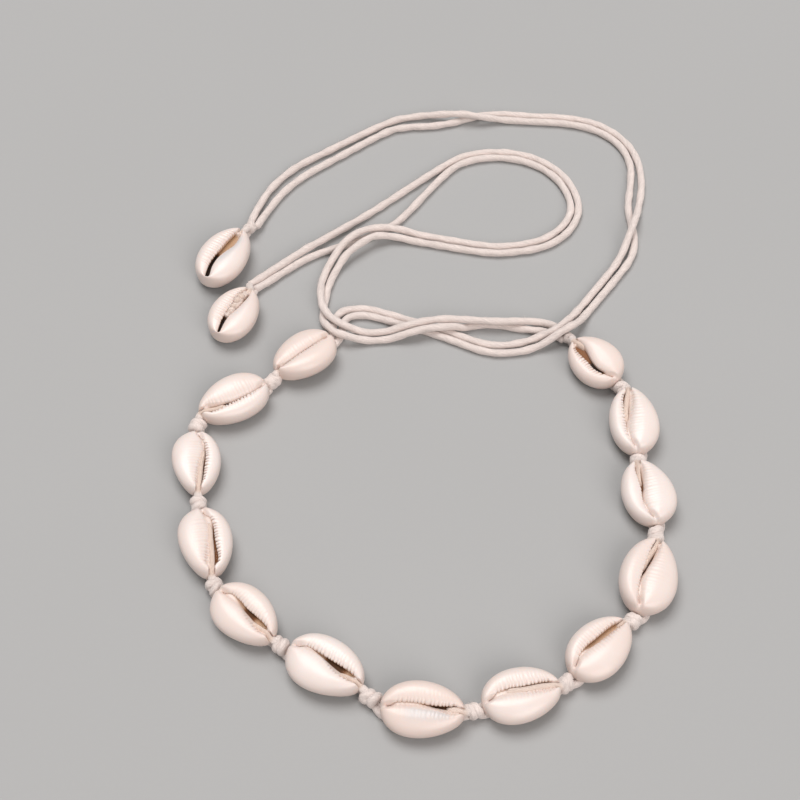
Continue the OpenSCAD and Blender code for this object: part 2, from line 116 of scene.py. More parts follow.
RIGHT_SHELL = Row(-0.0492, 0.0634, 62, 0, 0.88, 0.94,
    (1.1, 1.3, 1.3, 1.3, 1.3, 1, 0.4), (-0.7, -1, -0.8, -0.4, 0.2, 0.1, -0.3),
    (0.1, 0.1), 0.75, 0.4, 0.9, 0.2, 0.2, (0.5, 0.3), 0.3, 0.6, (-1.1, -0.3, 1, 0))

# Routes of the ties' strands, from the collar to their far ends. A point without a height
# lies on the table.
ON_TABLE = 0.001
TIES = {
"tie_left_upper": [
    (-0.0233, 0.0581), (-0.0229, 0.0606), (-0.0226, 0.0636), (-0.0206, 0.0663), (-0.017, 0.0673),
    (-0.0125, 0.067), (-0.0035, 0.0638), (0.006, 0.0604), (0.0155, 0.0562), (0.021, 0.055),
    (0.026, 0.0556), (0.03, 0.0567, 0.0012), (0.0332, 0.0577, 0.0022), (0.036, 0.0584, 0.0033),
    (0.0386, 0.0604, 0.0035), (0.0412, 0.0638, 0.0024), (0.0444, 0.0686, 0.0011), (0.0534, 0.0812),
    (0.0566, 0.0868, 0.0017), (0.0586, 0.0916, 0.0031), (0.0606, 0.097, 0.0031), (0.0624, 0.1034),
    (0.064, 0.112), (0.0638, 0.1206), (0.0614, 0.1278), (0.0568, 0.1334), (0.0506, 0.1372),
    (0.0425, 0.139), (0.0335, 0.1396), (0.025, 0.1404), (0.018, 0.1396), (0.0115, 0.1372),
    (0.0045, 0.1356), (-0.003, 0.135), (-0.0094, 0.1328), (-0.025, 0.1215), (-0.0326, 0.1156),
    (-0.0382, 0.1094), (-0.0424, 0.102, 0.0012), (-0.0446, 0.097, 0.0018),
],
"tie_left_lower": [
    (-0.0211, 0.0579), (-0.0205, 0.0599), (-0.0203, 0.0622), (-0.0188, 0.0644), (-0.016, 0.0651),
    (-0.012, 0.0646), (-0.003, 0.0614), (0.006, 0.058), (0.0155, 0.0537), (0.021, 0.0525),
    (0.0264, 0.0529), (0.0306, 0.054, 0.0013), (0.034, 0.0553, 0.0024), (0.037, 0.0568, 0.0039),
    (0.0402, 0.0588, 0.0044), (0.0428, 0.0616, 0.0029), (0.046, 0.0666, 0.0011), (0.0554, 0.0796),
    (0.059, 0.0856), (0.0604, 0.0918), (0.0598, 0.0976), (0.0596, 0.1044), (0.0608, 0.112),
    (0.0614, 0.1198), (0.0594, 0.1268), (0.0552, 0.1318), (0.0496, 0.135), (0.042, 0.1368),
    (0.0335, 0.1374), (0.025, 0.138, 0.0012), (0.0185, 0.1378, 0.0027), (0.0125, 0.1384, 0.0032),
    (0.0055, 0.1392, 0.002), (-0.0015, 0.1392), (-0.0094, 0.1364), (-0.027, 0.1248),
    (-0.035, 0.119), (-0.0412, 0.1118), (-0.0448, 0.1042, 0.0012), (-0.0467, 0.0978, 0.0018),
],
"tie_right_upper": [
    (0.0394, 0.0583, 0.0016), (0.0374, 0.0607), (0.0342, 0.0624), (0.0305, 0.0623, 0.002),
    (0.026, 0.0616, 0.0031), (0.0205, 0.0614, 0.0032), (0.0085, 0.0619, 0.0036),
    (0.0025, 0.0613, 0.0037), (-0.003, 0.0602, 0.0031), (-0.0085, 0.0593, 0.0016),
    (-0.0135, 0.0591, 0.0012), (-0.017, 0.0594, 0.0022), (-0.0198, 0.0601, 0.0033),
    (-0.0222, 0.0616, 0.0034), (-0.0242, 0.0636, 0.0033), (-0.0258, 0.0666, 0.0032),
    (-0.0264, 0.07, 0.0029), (-0.0265, 0.0736, 0.0023), (-0.0262, 0.0772, 0.0012),
    (-0.0248, 0.0816, 0.0013), (-0.0226, 0.0856, 0.0025), (-0.0198, 0.0898, 0.0031),
    (-0.0158, 0.093, 0.0032), (-0.011, 0.0944, 0.0032), (-0.005, 0.0946, 0.0022), (0.002, 0.0932),
    (0.0185, 0.0897), (0.0265, 0.0897), (0.0346, 0.0919), (0.0404, 0.0966), (0.0432, 0.1026),
    (0.0424, 0.1094), (0.0388, 0.116), (0.032, 0.121), (0.0235, 0.1229), (0.015, 0.1216),
    (0.0082, 0.1166), (-0.0046, 0.0996), (-0.0106, 0.0948), (-0.017, 0.0912), (-0.03, 0.0854),
    (-0.041, 0.0766, 0.0012), (-0.044, 0.0739, 0.0016),
],
"tie_right_lower": [
    (0.0381, 0.0566, 0.0016), (0.0359, 0.0587), (0.0326, 0.0598), (0.025, 0.061), (0.02, 0.0619),
    (0.015, 0.0616), (0.0124, 0.0606, 0.0015), (0.0094, 0.0598, 0.003), (0.006, 0.0595, 0.0032),
    (0.002, 0.059, 0.0032), (-0.0025, 0.0579, 0.0028), (-0.0075, 0.0571, 0.0012),
    (-0.0125, 0.0566), (-0.0164, 0.0565, 0.002), (-0.0196, 0.0568, 0.0031),
    (-0.0226, 0.0581, 0.0032), (-0.0246, 0.0607, 0.0024), (-0.0255, 0.0628, 0.0014),
    (-0.0257, 0.0656), (-0.0252, 0.0708), (-0.0246, 0.0744), (-0.0236, 0.078),
    (-0.022, 0.0816, 0.0014), (-0.0196, 0.0852, 0.0027), (-0.016, 0.0886, 0.0031),
    (-0.0118, 0.0914, 0.0031), (-0.006, 0.0921, 0.0018), (0.001, 0.0908), (0.018, 0.0873),
    (0.027, 0.0874), (0.0358, 0.0897), (0.0422, 0.095), (0.0454, 0.1024), (0.0445, 0.1102),
    (0.0402, 0.1178), (0.0326, 0.1232), (0.0232, 0.1251), (0.0136, 0.1234), (0.005, 0.1174),
    (-0.013, 0.102), (-0.0266, 0.0912, 0.0016), (-0.0316, 0.0868, 0.0024),
    (-0.0425, 0.0779, 0.0019), (-0.0456, 0.0754, 0.0018),
],
}
TIES = {name: [(*p, ON_TABLE)[:3] for p in route] for name, route in TIES.items()}

# How far a tie's strands go into what holds them at each end, and the pieces at its far end
TIE_REACH = {"left": (0, 0.0019), "right": (0.0009, 0.0009)}

# The camera of the photograph, and what the lights are turned to
CAMERA_PLACE = (-0.005, -0.2086, 0.3522)
CAMERA_AIM = (-0.005, 0.038, 0.0)
CAMERA_LENS = 74.25
CAMERA_SENSOR = 36
LIGHT_AIM = (0, 0.02, 0)
ROOM_LIGHT = 0.36
FLOOR_REACH = 40

# Layout of the cord, as in the part: gaps between neighbours, where a strand passes under a
# shell against its length, and heights and room at a knot
GAP = 0.0001
END_GAP = 0.0006
UNDER_SHELL = (0.02, -0.2, -0.45)
UNDER_HEAD = 0.46
UNDER_MIDDLE = 0.24
KNOT_Z = 0.0022
KNOT_ROOM = 0.00045
HEAD_RISE = 0.0012
TAIL_DROP = 0.0011
END_KNOT = dict(spot=(0.0401, 0.0565), heading=142, d=0.0032, l=0.003, z=0.002)
LEFT_KNOT = dict(spot=(-0.0468, 0.095), heading=57, d=0.0034, l=0.003, z=0.0026)
END_TURNS = ((-0.2, 20, 1.0), (0.2, -15, 1.0))
LEFT_TURNS = ((-0.2, 10, 1.0), (0.2, -25, 1.0))
LEFT_NUB = [(-0.0464, 0.0949, 0.0028), (-0.0457, 0.0946, 0.0029), (-0.045, 0.0944, 0.0028)]

# The front strand in a slit: where along the shell it crosses the notch, where its next points
# begin and how far apart they are, how high the lips are against the shell, how far under them
# the strand lies before and after it dives and how far under them it is hidden, how much the
# slit gives way, and the least and most share of its width that the slit leaves the strand
OVER_NOTCH = 0.97
IN_SLIT = 0.82
SLIT_PACE = -0.14
LIPS_HIGH = 0.80
SUNK = (0.0006, 0.0032)
HIDDEN = 0.0028
GIVE = 0.00012
PINCH = (0.38, 0.8)

# How far the strands' ends go into a knot and into the left tie's, the thickness of knot for
# which the radius of its core and of the turns round it are given, how far a turn drifts and
# sways along the knot, and the radius of the stub that stands off the left tie's
INTO_KNOT = 0.0009
INTO_LEFT_KNOT = 0.0006
DRAWN_KNOT = 0.0044
KNOT_CORE = 0.00182
KNOT_TURN = 0.00112
TURN_DRIFT = 0.00025
TURN_SWAY = 0.00008
NUB_RADIUS = 0.0006

# How finely the strands are drawn, in metres along them and in sides round them
TIE_STEP, TIE_SIDES = 0.0005, 14
STRAND_STEP, STRAND_SIDES = 0.0004, 20
TURN_STEP = 0.00025
FINE_STEP = 0.0002

# Loose fibres to a metre of strand, the least and most length and thickness of one, the angle
# between its three sides, how far above the table they stay, and how near the points of their
# pattern are merged
FIBRES = {"strand": 4500, "tie": 9000, "turn": 9000, "stop": 12000, "lump": 14000}
FIBRE_LONG = (0.0003, 0.0011)
FIBRE_THICK = (0.000018, 0.000030)
FIBRE_SIDE = 2.094
FIBRE_LOW = 0.00002
FIBRE_WELD = 1e-4

SEEDS = {"ties": 100, "strands": 200, "knots": 300, "end knot": 320, "left cowrie": 31,
         "right cowrie": 32, "left knot": 41, "left strands": 51, "right strands": 53,
         "stop": 61}

# The stop in the slit of the right tie's cowrie: the places along the shell that its core goes
# through with their height against the shell's, its distance from the slit's middle, its radius
# and how it is squeezed. Its lumps with place, distance from the slit's middle, height above
# STOP_HIGH, slant in degrees and radius, how far a lump's strand winds from its middle and how it
# is squeezed.
STOP_CORE = ((0.78, 0.60), (0.45, 0.68), (0.2, 0.68), (-0.05, 0.66), (-0.33, 0.62))
STOP_ASIDE = 0.0002
STOP_RADIUS = 0.00108
STOP_SQUEEZE = 0.86
STOP_HIGH = 0.68
STOP_LUMPS = (
    (0.50, 0.0004, 0.12, 80, 0.00095), (0.30, 0.0005, 0.20, 10, 0.00105),
    (0.08, 0.0002, 0.13, -50, 0.00090), (-0.14, 0.0002, 0.07, 20, 0.00075))
LUMP_REACH = 0.00028
LUMP_SQUEEZE = 0.74

# The turns of each knot between two cowries: place along the knot against its length, slant in
# degrees, size against the others
KNOT_TURNS = [
    ((-0.18, 48, 1), (0.16, 40, 1)), ((-0.2, 4, 1), (0.2, -6, 1)),
    ((-0.26, -10, 0.95), (0.22, 30, 1)), ((-0.24, -14, 1), (0.26, 22, 0.85)),
    ((-0.32, 12, 0.8), (0.12, 6, 1.05)), ((-0.24, -34, 1), (0.24, -26, 0.95)),
    ((-0.22, 26, 0.95), (0.18, 30, 1)), ((-0.2, -40, 1), (0.18, -34, 1)),
    ((-0.24, 20, 0.95), (0.16, 24, 1)), ((-0.28, 12, 0.95), (0.24, 34, 0.95)),
    ((-0.26, -16, 0.95), (0.2, -20, 1)), ((-0.26, 30, 0.95), (0.2, -32, 1)),
]

# Shape of a cowrie, against half its length or its height, and widths in metres: how much
# narrower each side gets towards the head, middle and reach of the slit, the curl up to which it
# counts as open, its least half width, the wall left at the head's notch, the notch's least and
# most half width, the crown's drop to the head and to the tail, where the notch and the crease
# at the tail begin, and the crease's width and depth
EGG_LIP = 0.07
EGG_LOBE = 0.18
CLOSED_SLIT = (0.02, 0.86)
OPEN_SLIT = (-0.04, 0.92)
OPEN_CURL = 0.11
SLIT_LEAST = 0.00003
HEAD_LOW = 0.13
HEAD_ROOM = (0.00055, 0.00075)
DROP_AT_HEAD = 0.26
DROP_AT_TAIL = 0.22
NOTCH_FROM = 0.84
CREASE_FROM = -0.62
CREASE_WIDE = 0.0011
CREASE_DEEP = 0.24

# Wall of a cowrie on its lip side and its lobe side, from the outer sawn edge over the top and
# through the slit to the inner sawn edge. Each row: place from the slit to the outline, height
# against the lips, inset of the outline, how much the ribs show, how far inside it is, how far
# the grooves between the teeth cut back, how far it is rolled in under the slit, how far the
# inner whorl reaches across the hollow. A row ends where only noughts follow, and WALL_STEPS
# says how many steps lead from each row to the next.
LIP_WALL = [
    (0.87, 0, 1), (0.95, 0.18, 1), (0.995, 0.38, 1), (0.998, 0.53, 1), (0.96, 0.68, 1),
    (0.86, 0.83, 1, 0.02), (0.71, 0.94, 1, 0.25), (0.53, 0.995, 1, 0.5), (0.35, 1, 1, 0.8),
    (0.19, 0.98, 1, 0.9, 0, 0.1), (0.07, 0.935, 1, 1, 0, 0.7), (0, 0.87, 1, 0.6, 0, 1),
    (0, 0.74, 1, 0.2, 0.5, 0.6), (0.03, 0.6, 0.98, 0, 0.9, 0.2), (0.14, 0.52, 0.92, 0, 1),
    (0.36, 0.58, 0.88, 0, 1), (0.62, 0.6, 0.85, 0, 1), (0.8, 0.52, 0.84, 0, 1),
    (0.88, 0.38, 0.84, 0, 1), (0.93, 0.2, 0.84, 0, 1), (0.9, 0, 0.84, 0, 1),
]
LOBE_WALL = [
    (0.87, 0, 1), (0.95, 0.17, 1), (0.995, 0.34, 1), (0.999, 0.48, 1), (0.97, 0.62, 1),
    (0.9, 0.75, 1, 0.02), (0.78, 0.87, 1, 0.1), (0.61, 0.955, 1, 0.3), (0.42, 1, 1, 0.55),
    (0.24, 0.985, 1, 0.85), (0.1, 0.93, 1, 1, 0, 0.3), (0.02, 0.84, 1, 1, 0, 0.9, 0.05),
    (0, 0.75, 1, 0.5, 0.08, 0.5, 0.4), (0, 0.68, 1, 0, 0.25, 0, 0.8), (0, 0.61, 1, 0, 0.7, 0, 1),
    (0, 0.57, 0.96, 0, 1, 0, 0.8, 0.4), (0, 0.5, 0.92, 0, 1, 0, 0.4, 1),
    (0, 0.36, 0.9, 0, 1, 0, 0.2, 0.9), (0.2, 0.18, 0.86, 0, 1, 0, 0, 0.2),
    (0.78, 0.18, 0.84, 0, 1), (0.9, 0, 0.84, 0, 1),
]
WALL_STEPS = [1, 1, 1, 1, 2, 2, 2, 2, 2, 3, 3, 3, 2, 2, 2, 2, 2, 1, 1, 1]

# Reach of the inner whorl past the slit, height of the ledge against the lips, columns round
# each side of a cowrie, the stretch with ribs, how far down the grooves between the teeth go, how
# uneven the crown is, the angle past which an edge stays sharp, and how near points are merged
SHELF = 0.0016
LEDGE_HIGH = 0.77
LIP_COLUMNS = 260
LOBE_COLUMNS = 140
RIB_SPAN = (-0.64, 0.76)
GROOVE_DROP = 0.00014
CROWN_SWELL = 0.00004
SHARP = math.radians(70)
WELD = 1e-7


def size(name, description, default, low, high):
    return FloatProperty(name=name, description=description, default=default, min=low, max=high,
                         unit="LENGTH")


def tint(name, description, default):
    return FloatVectorProperty(name=name, description=description, default=default,
                               subtype="COLOR", min=0, max=1)


class ChokerCowries(PropertyGroup):
    """Sizes and colours of the cowries"""

    length: size("Length", "Length of a middling cowrie, tip to tip", 0.020, 0.018, 0.021)
    width: size("Width", "Width of a middling cowrie", 0.0136, 0.012, 0.0144)
    height: size("Height", "Height of the half that is left", 0.0052, 0.005, 0.0064)
    ribs: IntProperty(
        name="Ribs", description="Ribs along one side of the slit",
        default=15, min=9, max=18)
    rib_depth: size("Rib depth", "Depth of the grooves between the ribs", 0.00014, 0, 0.0003)
    tooth_depth: size("Tooth depth", "How far the grooves cut back the edge of the slit",
                      0.00036, 0, 0.0006)
    # Cream is the crown's colour. Peach, down the flanks, is partly the shell's own warmer tone and
    # partly painted shade.
    cream: tint("Cream", "Colour of the bleached crown", (0.83, 0.75, 0.72))
    # Peach in the rib grooves is painted shade.
    peach: tint("Peach", "Warmer colour of the flanks and the grooves", (0.76, 0.60, 0.53))
    tan: tint("Tan", "Colour of the inside", (0.50, 0.31, 0.18))
    # Brown is painted shade deep inside the slit, where one looks down into the hollow.
    shade_brown: tint("Brown", "Colour deep inside", (0.22, 0.085, 0.028))
    # The grey blue is the end cowries' own colour; on cowrie 7 it is partly a painted reflection.
    pearl: tint("Pearl", "Grey blue beside the slit of the widest cowries", (0.52, 0.53, 0.55))


class ChokerCord(PropertyGroup):
    """Size and colour of the cotton cord"""

    thickness: size("Thickness", "Thickness of one strand", 0.002, 0.0016, 0.002)
    pitch: size("Lay", "Length in which the fibres go once round the strand",
                0.014, 0.004, 0.04)
    cotton: tint("Cotton", "Colour of the natural cotton", (0.93, 0.815, 0.768))
    # Warm is painted warm shade where the slits squeeze the strands.
    warm: tint("Warm", "Colour of the cord inside the slits", (0.84, 0.65, 0.54))


class ChokerKnots(PropertyGroup):
    """Size of the knots between the cowries"""

    thickness: size("Thickness", "Thickness of a knot between two cowries",
                    0.0044, 0.004, 0.0046)
    length: size("Length", "Length of that knot where the cowries leave it room",
                 0.004, 0.003, 0.0044)


class ChokerStage(PropertyGroup):
    """Floor and lights"""

    floor: tint("Floor", "Colour of the floor", (0.41, 0.41, 0.41))
    key: FloatProperty(
        name="Key light", description="Strength of the soft light behind the collar",
        default=2.0, min=0)
    fill: FloatProperty(
        name="Fill light", description="Strength of the soft light in front",
        default=1.36, min=0)


def blend(a, b, t):
    return a + (b - a) * t


def ramp(t):
    t = np.clip(t, 0, 1)
    return t * t * (3 - 2 * t)


def spline(points, steps):
    """A smooth line through the points, with this many steps between each two."""
    p = np.array(points, dtype=float)
    p = np.vstack([p[:1], p, p[-1:]])
    rows = []
    for i, count in enumerate(np.broadcast_to(steps, len(points) - 1)):
        a, b, c, d = p[i : i + 4]
        for t in np.arange(count) / count:
            rows.append(
                0.5 * (2 * b + (c - a) * t + (2 * a - 5 * b + 4 * c - d) * t * t
                       + (3 * b - a - 3 * c + d) * t ** 3))
    rows.append(p[-1])
    return np.array(rows)


def least_turn(degrees):
    """The same turn, between -180 and 180 degrees."""
    return (degrees + 540) % 360 - 180


def turned(x, y, degrees):
    a = math.radians(degrees)
    return x * math.cos(a) - y * math.sin(a), x * math.sin(a) + y * math.cos(a)


class Cowrie:
    """Measures of one cowrie: its outline, its slit and where its points are on the table."""

    def __init__(self, row, cowries, cord):
        self.row = row
        self.long = row.long * cowries.length
        self.wide = row.wide * cowries.width
        self.high = (row.long + row.wide) / 2 * cowries.height
        self.open = row.curl[0] <= OPEN_CURL
        self.cord_r = cord.thickness / 2
        self.side = self.cord_r + GAP / 2
        tilt = math.radians(row.tilt)
        self.lift = (self.cord_r * (1 + 1 / math.cos(tilt))
                     + self.side * math.tan(abs(tilt)) + GAP)
        table = [(1.1, row.lip[0], row.lobe[0]), *zip(EDGE_AT, row.lip, row.lobe)]
        middle = (row.lip[-1] + row.lobe[-1]) / 2 - 0.3
        table.append((-1.1, middle, middle))
        self.edges = spline(table, 8)[::-1]

    def edge(self, u, column):
        return np.interp(u, self.edges[:, 0], self.edges[:, column]) * 0.001

    def slit_middle(self, u):
        return (self.edge(u, 1) + self.edge(u, 2)) / 2

    def slit_half(self, u):
        closed = ramp((-0.60 - np.asarray(u)) / 0.2) * (not self.open)
        half = (self.edge(u, 1) - self.edge(u, 2)) / 2 * (1 - 0.8 * closed)
        half = np.maximum(half, SLIT_LEAST)
        notch = ramp((np.asarray(u) - 0.62) / 0.2)
        if not self.open:
            half = np.minimum(half, blend(self.cord_r * 2, HEAD_ROOM[1], notch))
        return np.maximum(half, HEAD_ROOM[0] * notch)

    def dome(self, u):
        drop = np.where(np.asarray(u) > 0, DROP_AT_HEAD, DROP_AT_TAIL)
        return 1 - drop * np.abs(np.clip(u, -1, 1)) ** 2.4

    def outline(self, a):
        egg = np.where(np.sin(a) > 0, EGG_LIP, EGG_LOBE)
        return np.stack([self.long / 2 * np.cos(a),
                         self.wide / 2 * np.sin(a) * (1 - egg * np.cos(a))], -1)

    def slit_outline(self, a):
        shift, reach = OPEN_SLIT if self.open else CLOSED_SLIT
        u = shift + reach * np.cos(a)
        side = np.tanh(5 * np.sin(a)) / math.tanh(5)
        return np.stack([self.long / 2 * u, self.slit_middle(u) + self.slit_half(u) * side], -1)

    def lowered(self, x, y):
        """Share of its height that the wall keeps in the notch and in the crease at the tail."""
        u = x / (self.long / 2)
        beside = np.abs(y - self.slit_middle(u))
        room = self.slit_half(0.9)
        notch = ramp((room + 0.0001 - beside) / 0.0003) * ramp((u - NOTCH_FROM) / 0.06)
        crease = ramp(1 - beside / CREASE_WIDE) * ramp((CREASE_FROM - u) / 0.16)
        return (1 - notch * (1 - HEAD_LOW)) * (1 - crease * CREASE_DEEP * (not self.open))

    def placed(self, p):
        """Points given along the cowrie, to its lip side and above its sawn back."""
        p = np.asarray(p, dtype=float)
        tilt = math.radians(self.row.tilt)
        c, s = math.cos(tilt), math.sin(tilt)
        y = p[..., 1] * c + p[..., 2] * s
        z = p[..., 2] * c - p[..., 1] * s
        x, y = turned(p[..., 0], y, self.row.heading)
        return np.stack([x + self.row.x, y + self.row.y, z + self.lift], -1)

    def tip(self, side):
        x, y = turned(side * self.long / 2, 0, self.row.heading)
        return np.array([x + self.row.x, y + self.row.y])


def mesh_of(bm, name):
    """The mesh of a bmesh, which is freed."""
    mesh = bpy.data.meshes.new(name)
    bm.to_mesh(mesh)
    bm.free()
    return mesh


def linked(name, data):
    thing = bpy.data.objects.new(name, data)
    bpy.context.scene.collection.objects.link(thing)
    return thing


def aimed(thing, place, aim):
    """Puts a light or the camera in its place and turns it to what it looks at."""
    thing.location = place
    thing.rotation_euler = (Vector(aim) - Vector(place)).to_track_quat("-Z", "Y").to_euler()


def closed(bm, weld=WELD):
    """Merges the seams and tips of a bmesh and turns its faces outwards."""
    bmesh.ops.remove_doubles(bm, verts=bm.verts, dist=weld)
    bmesh.ops.recalc_face_normals(bm, faces=bm.faces)
    return bm


def loom(columns, rows):
    """A bmesh grid, with the column and the row of each point."""
    bm = bmesh.new()
    bmesh.ops.create_grid(bm, x_segments=columns, y_segments=rows, size=0.5)
    flat = np.array([v.co[:2] for v in bm.verts]) + 0.5
    return bm, *np.rint(flat * (columns, rows)).astype(int).T


def shaped(bm, spots, **patterns):
    """Moves the points of a bmesh and writes the patterns that its material reads."""
    layers = []
    for name, values in patterns.items():
        kind = bm.verts.layers.float if values.ndim == 1 else bm.verts.layers.float_vector
        layers.append((kind.get(name) or kind.new(name), values))
    for k, v in enumerate(bm.verts):
        v.co = spots[k]
        for layer, values in layers:
            v[layer] = values[k]


def finished(bm, name, node, material, sharp=None):
    """Closes a bmesh and makes it a piece that rides on the choker."""
    mesh = mesh_of(closed(bm), name)
    mesh.shade_smooth()
    if sharp:
        mesh.set_sharp_from_angle(angle=sharp)
    piece = linked(name, mesh)
    mesh.materials.append(material)
    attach(piece, BODY)
    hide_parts(node)


def cord_piece(bm, name, node, context):
    finished(bm, name, node, cotton_material(context))


def columns_round():
    """Angles of the columns round a cowrie, closer together on its lip side and at its tips."""
    lip = np.pi * np.arange(LIP_COLUMNS) / LIP_COLUMNS
    lobe = np.pi + np.pi * np.arange(LOBE_COLUMNS) / LOBE_COLUMNS
    turn = np.concatenate([lip, lobe])
    return turn - 0.12 * np.sin(2 * turn)


def make_cowrie(name, node, row, seed, context):
    """One cowrie: a grid bent round the slit into a closed wall, with ribs along the slit."""
    cowries = context.scene.choker_cowries
    shell = Cowrie(row, cowries, context.scene.choker_cord)
    draw = random.Random(seed)
    lip, lobe = (spline([(*line, 0, 0, 0, 0, 0)[:8] for line in wall], WALL_STEPS)
                 for wall in (LIP_WALL, LOBE_WALL))
    across = len(lip)
    a = columns_round()
    around = len(a)
    side = ramp((np.sin(a) + 0.25) / 0.5)[None, :]
    place, height, inset, rib, inward, tooth, curl, shelf = (
        blend(lobe[:, k, None], lip[:, k, None], side) for k in range(8))
    inward = np.clip(inward, 0, 1)
    outline, slit = shell.outline(a), shell.slit_outline(a)
    flat = slit[None] + (outline[None] * inset[..., None] - slit[None]) * place[..., None]
    u = flat[..., 0] / (shell.long / 2)

    # The ribs, and the grooves between them that cut the slit's edge into teeth
    first, last = RIB_SPAN
    spread = (u + 0.05 * place * u - first) / (last - first)
    uneven = (0.012 * np.sin(9 * u + draw.uniform(0, 6))
              + 0.008 * np.sin(23 * u + draw.uniform(0, 6)))
    wave = 0.5 + 0.5 * np.cos(2 * np.pi * ((spread + uneven) * cowries.ribs + 0.35 * (1 - side)))
    ends = ramp((last + 0.04 - u) / 0.08) * ramp((u - first + 0.04) / 0.12)
    lobe_share = row.lobe_ribs * ramp((row.reach + 0.25 - place) / 0.25)
    # The depth of the grooves between the ribs; the material also paints these grooves peach as
    # painted shade.
    ridge = np.clip(rib, 0, 1) * (1 - wave) * ends * blend(lobe_share, row.lip_ribs, side)
    tooth = np.clip(tooth, 0, 1) ** (1 / max(1, row.pits[0]))
    valley = ramp((0.45 - wave) / 0.42) * tooth * ends
    valley = valley * blend(row.pits[1] * ramp((u + 0.1) / 0.3), min(row.pits[0], 1.3), side)
    flat[..., 1] += cowries.tooth_depth * valley * np.sign(np.sin(a))[None]

    # The lobe rolls in under the slit, right across it where a ledge closes it
    width = 2 * shell.slit_half(u)
    # How strongly the inside is painted dark as shade along the slit, from the row's span and
    # darkness.
    opened = ramp((u - row.hole[0]) / 0.2 + 0.5)
    hole = opened * blend(row.hole[3], row.hole[2], ramp((row.hole[1] - u) / 0.2 + 0.5))
    ledge = np.maximum(ramp((row.ledge - u) / 0.4) * (not shell.open),
                        ramp((u - 0.70) / 0.12) * (row.hole[1] < 0.9))
    height = np.where((place < 0.01) & (side < 0.5) & (height > 0.5),
                      blend(height, np.maximum(height, LEDGE_HIGH), ledge), height)
    over = ramp(-np.sin(a) / 0.5)[None]
    rolled = blend(blend(*row.curl, opened), 1.0, ledge) * np.clip(curl, 0, 1) * width
    # The inner whorl reaches across under the slit and closes the view down to the floor; the
    # painted shade deep in the slit lies on it.
    flat[..., 1] += over * (rolled + np.clip(shelf, 0, 1) * (width + SHELF))
    inward = inward * (1 - 0.3 * ledge * (height > 0.4)) * (1 - 0.85 * ramp((u - 0.7) / 0.12))
    z = np.clip(height, 0, None) * shell.high * shell.dome(u) * shell.lowered(
        flat[..., 0], flat[..., 1])
    z -= GROOVE_DROP * valley * ramp(height / 0.3)
    wall = np.concatenate([flat, z[..., None]], -1)

    # The grooves and a slight unevenness go along the wall's normals
    along = np.roll(wall, -1, 1) - np.roll(wall, 1, 1)
    up = np.gradient(wall, axis=0)
    normal = np.cross(along, up)
    normal /= np.linalg.norm(normal, axis=-1, keepdims=True) + 1e-12
    swell = sum(
        draw.uniform(0.3, 1) * np.sin(
            draw.uniform(120, 420) * wall[..., 0] + draw.uniform(120, 420) * wall[..., 1]
            + draw.uniform(0, 6))
        for _ in range(4))
    wall = wall + normal * (CROWN_SWELL * swell * (1 - inward) * ramp(z / shell.high * 3)
                            - cowries.rib_depth * ridge)[..., None]
    wall[..., 2] = np.clip(wall[..., 2], 0, None)

    # Grey blue beside the slit: the end cowries' own colour, on cowrie 7 partly a painted
    # reflection.
    grey = ramp((place - 0.02) / 0.15) * ramp((0.70 - place) / 0.55) * (1 - side)
    grey = grey * ramp((u + 0.6) / 0.4) * ramp((0.8 - u) / 0.3) * (1 - inward) * row.pearl
    patterns = {
        # crown: height along the wall, which the material reads to fade cream to peach down the
        # flanks, partly painted shade.
        "inward": inward, "groove_shade": ridge, "crown": np.clip(height * shell.dome(u), 0, 1),
        # The tooth pits along the slit's edge are painted darker tan as shade.
        "pearl": grey, "pit": np.clip(valley * ramp((inward + 0.02) / 0.3), 0, 1),
        # Painted shade deep inside the slit, on the inner whorl and walls where one looks down into
        # the hollow.
        "deep_shade": hole * ramp((inward - 0.15) / 0.5) * (1 - ledge),
        "warm": np.full_like(place, row.warm)}
    bm, i, j = loom(around, across)
    i, j = i % around, j % across
    shaped(bm, shell.placed(wall)[j, i], **{key: p[j, i] for key, p in patterns.items()})
    finished(bm, name, node, shell_material(context), SHARP)


def frames(path):
    """Way, side and top at each point of a path, carried along so that nothing twists."""
    way = np.gradient(path, axis=0)
    way /= np.linalg.norm(way, axis=1, keepdims=True)
    side = np.empty_like(way)
    last = np.cross((0, 0, 1), way[0])
    for k, t in enumerate(way):
        last = last - np.dot(last, t) * t
        last /= np.linalg.norm(last)
        side[k] = last
    return way, side, np.cross(way, side)


def walked(path):
    """How far along it each point of a path is."""
    return np.concatenate([[0], np.cumsum(np.linalg.norm(np.diff(path, axis=0), axis=1))])


def evenly(path, step):
    """The same path with points this far apart."""
    gone = walked(path)
    at = np.linspace(0, gone[-1], max(4, int(gone[-1] / step) + 1))
    return np.stack([np.interp(at, gone, path[:, k]) for k in range(3)], -1)


def length_of(path):
    return float(walked(path)[-1])


def add_mesh(bm, other):
    """Joins another bmesh to this one, and frees the other."""
    mesh = mesh_of(other, "part")
    bm.from_mesh(mesh)
    bpy.data.meshes.remove(mesh)


def fibre_mesh():
    """One loose fibre, 1 long and 1 thick, with three sides and closed ends."""
    found = bpy.data.meshes.get("fibre")
    if found:
        return found
    bm, i, j = loom(4, 3)
    for v, t, k in zip(bm.verts, i / 4, j % 3):
        thin = (1 - 0.6 * t) * (0 < t < 1)
        v.co = (t, thin * math.cos(FIBRE_SIDE * k), thin * math.sin(FIBRE_SIDE * k))
    return mesh_of(closed(bm, FIBRE_WELD), "fibre")


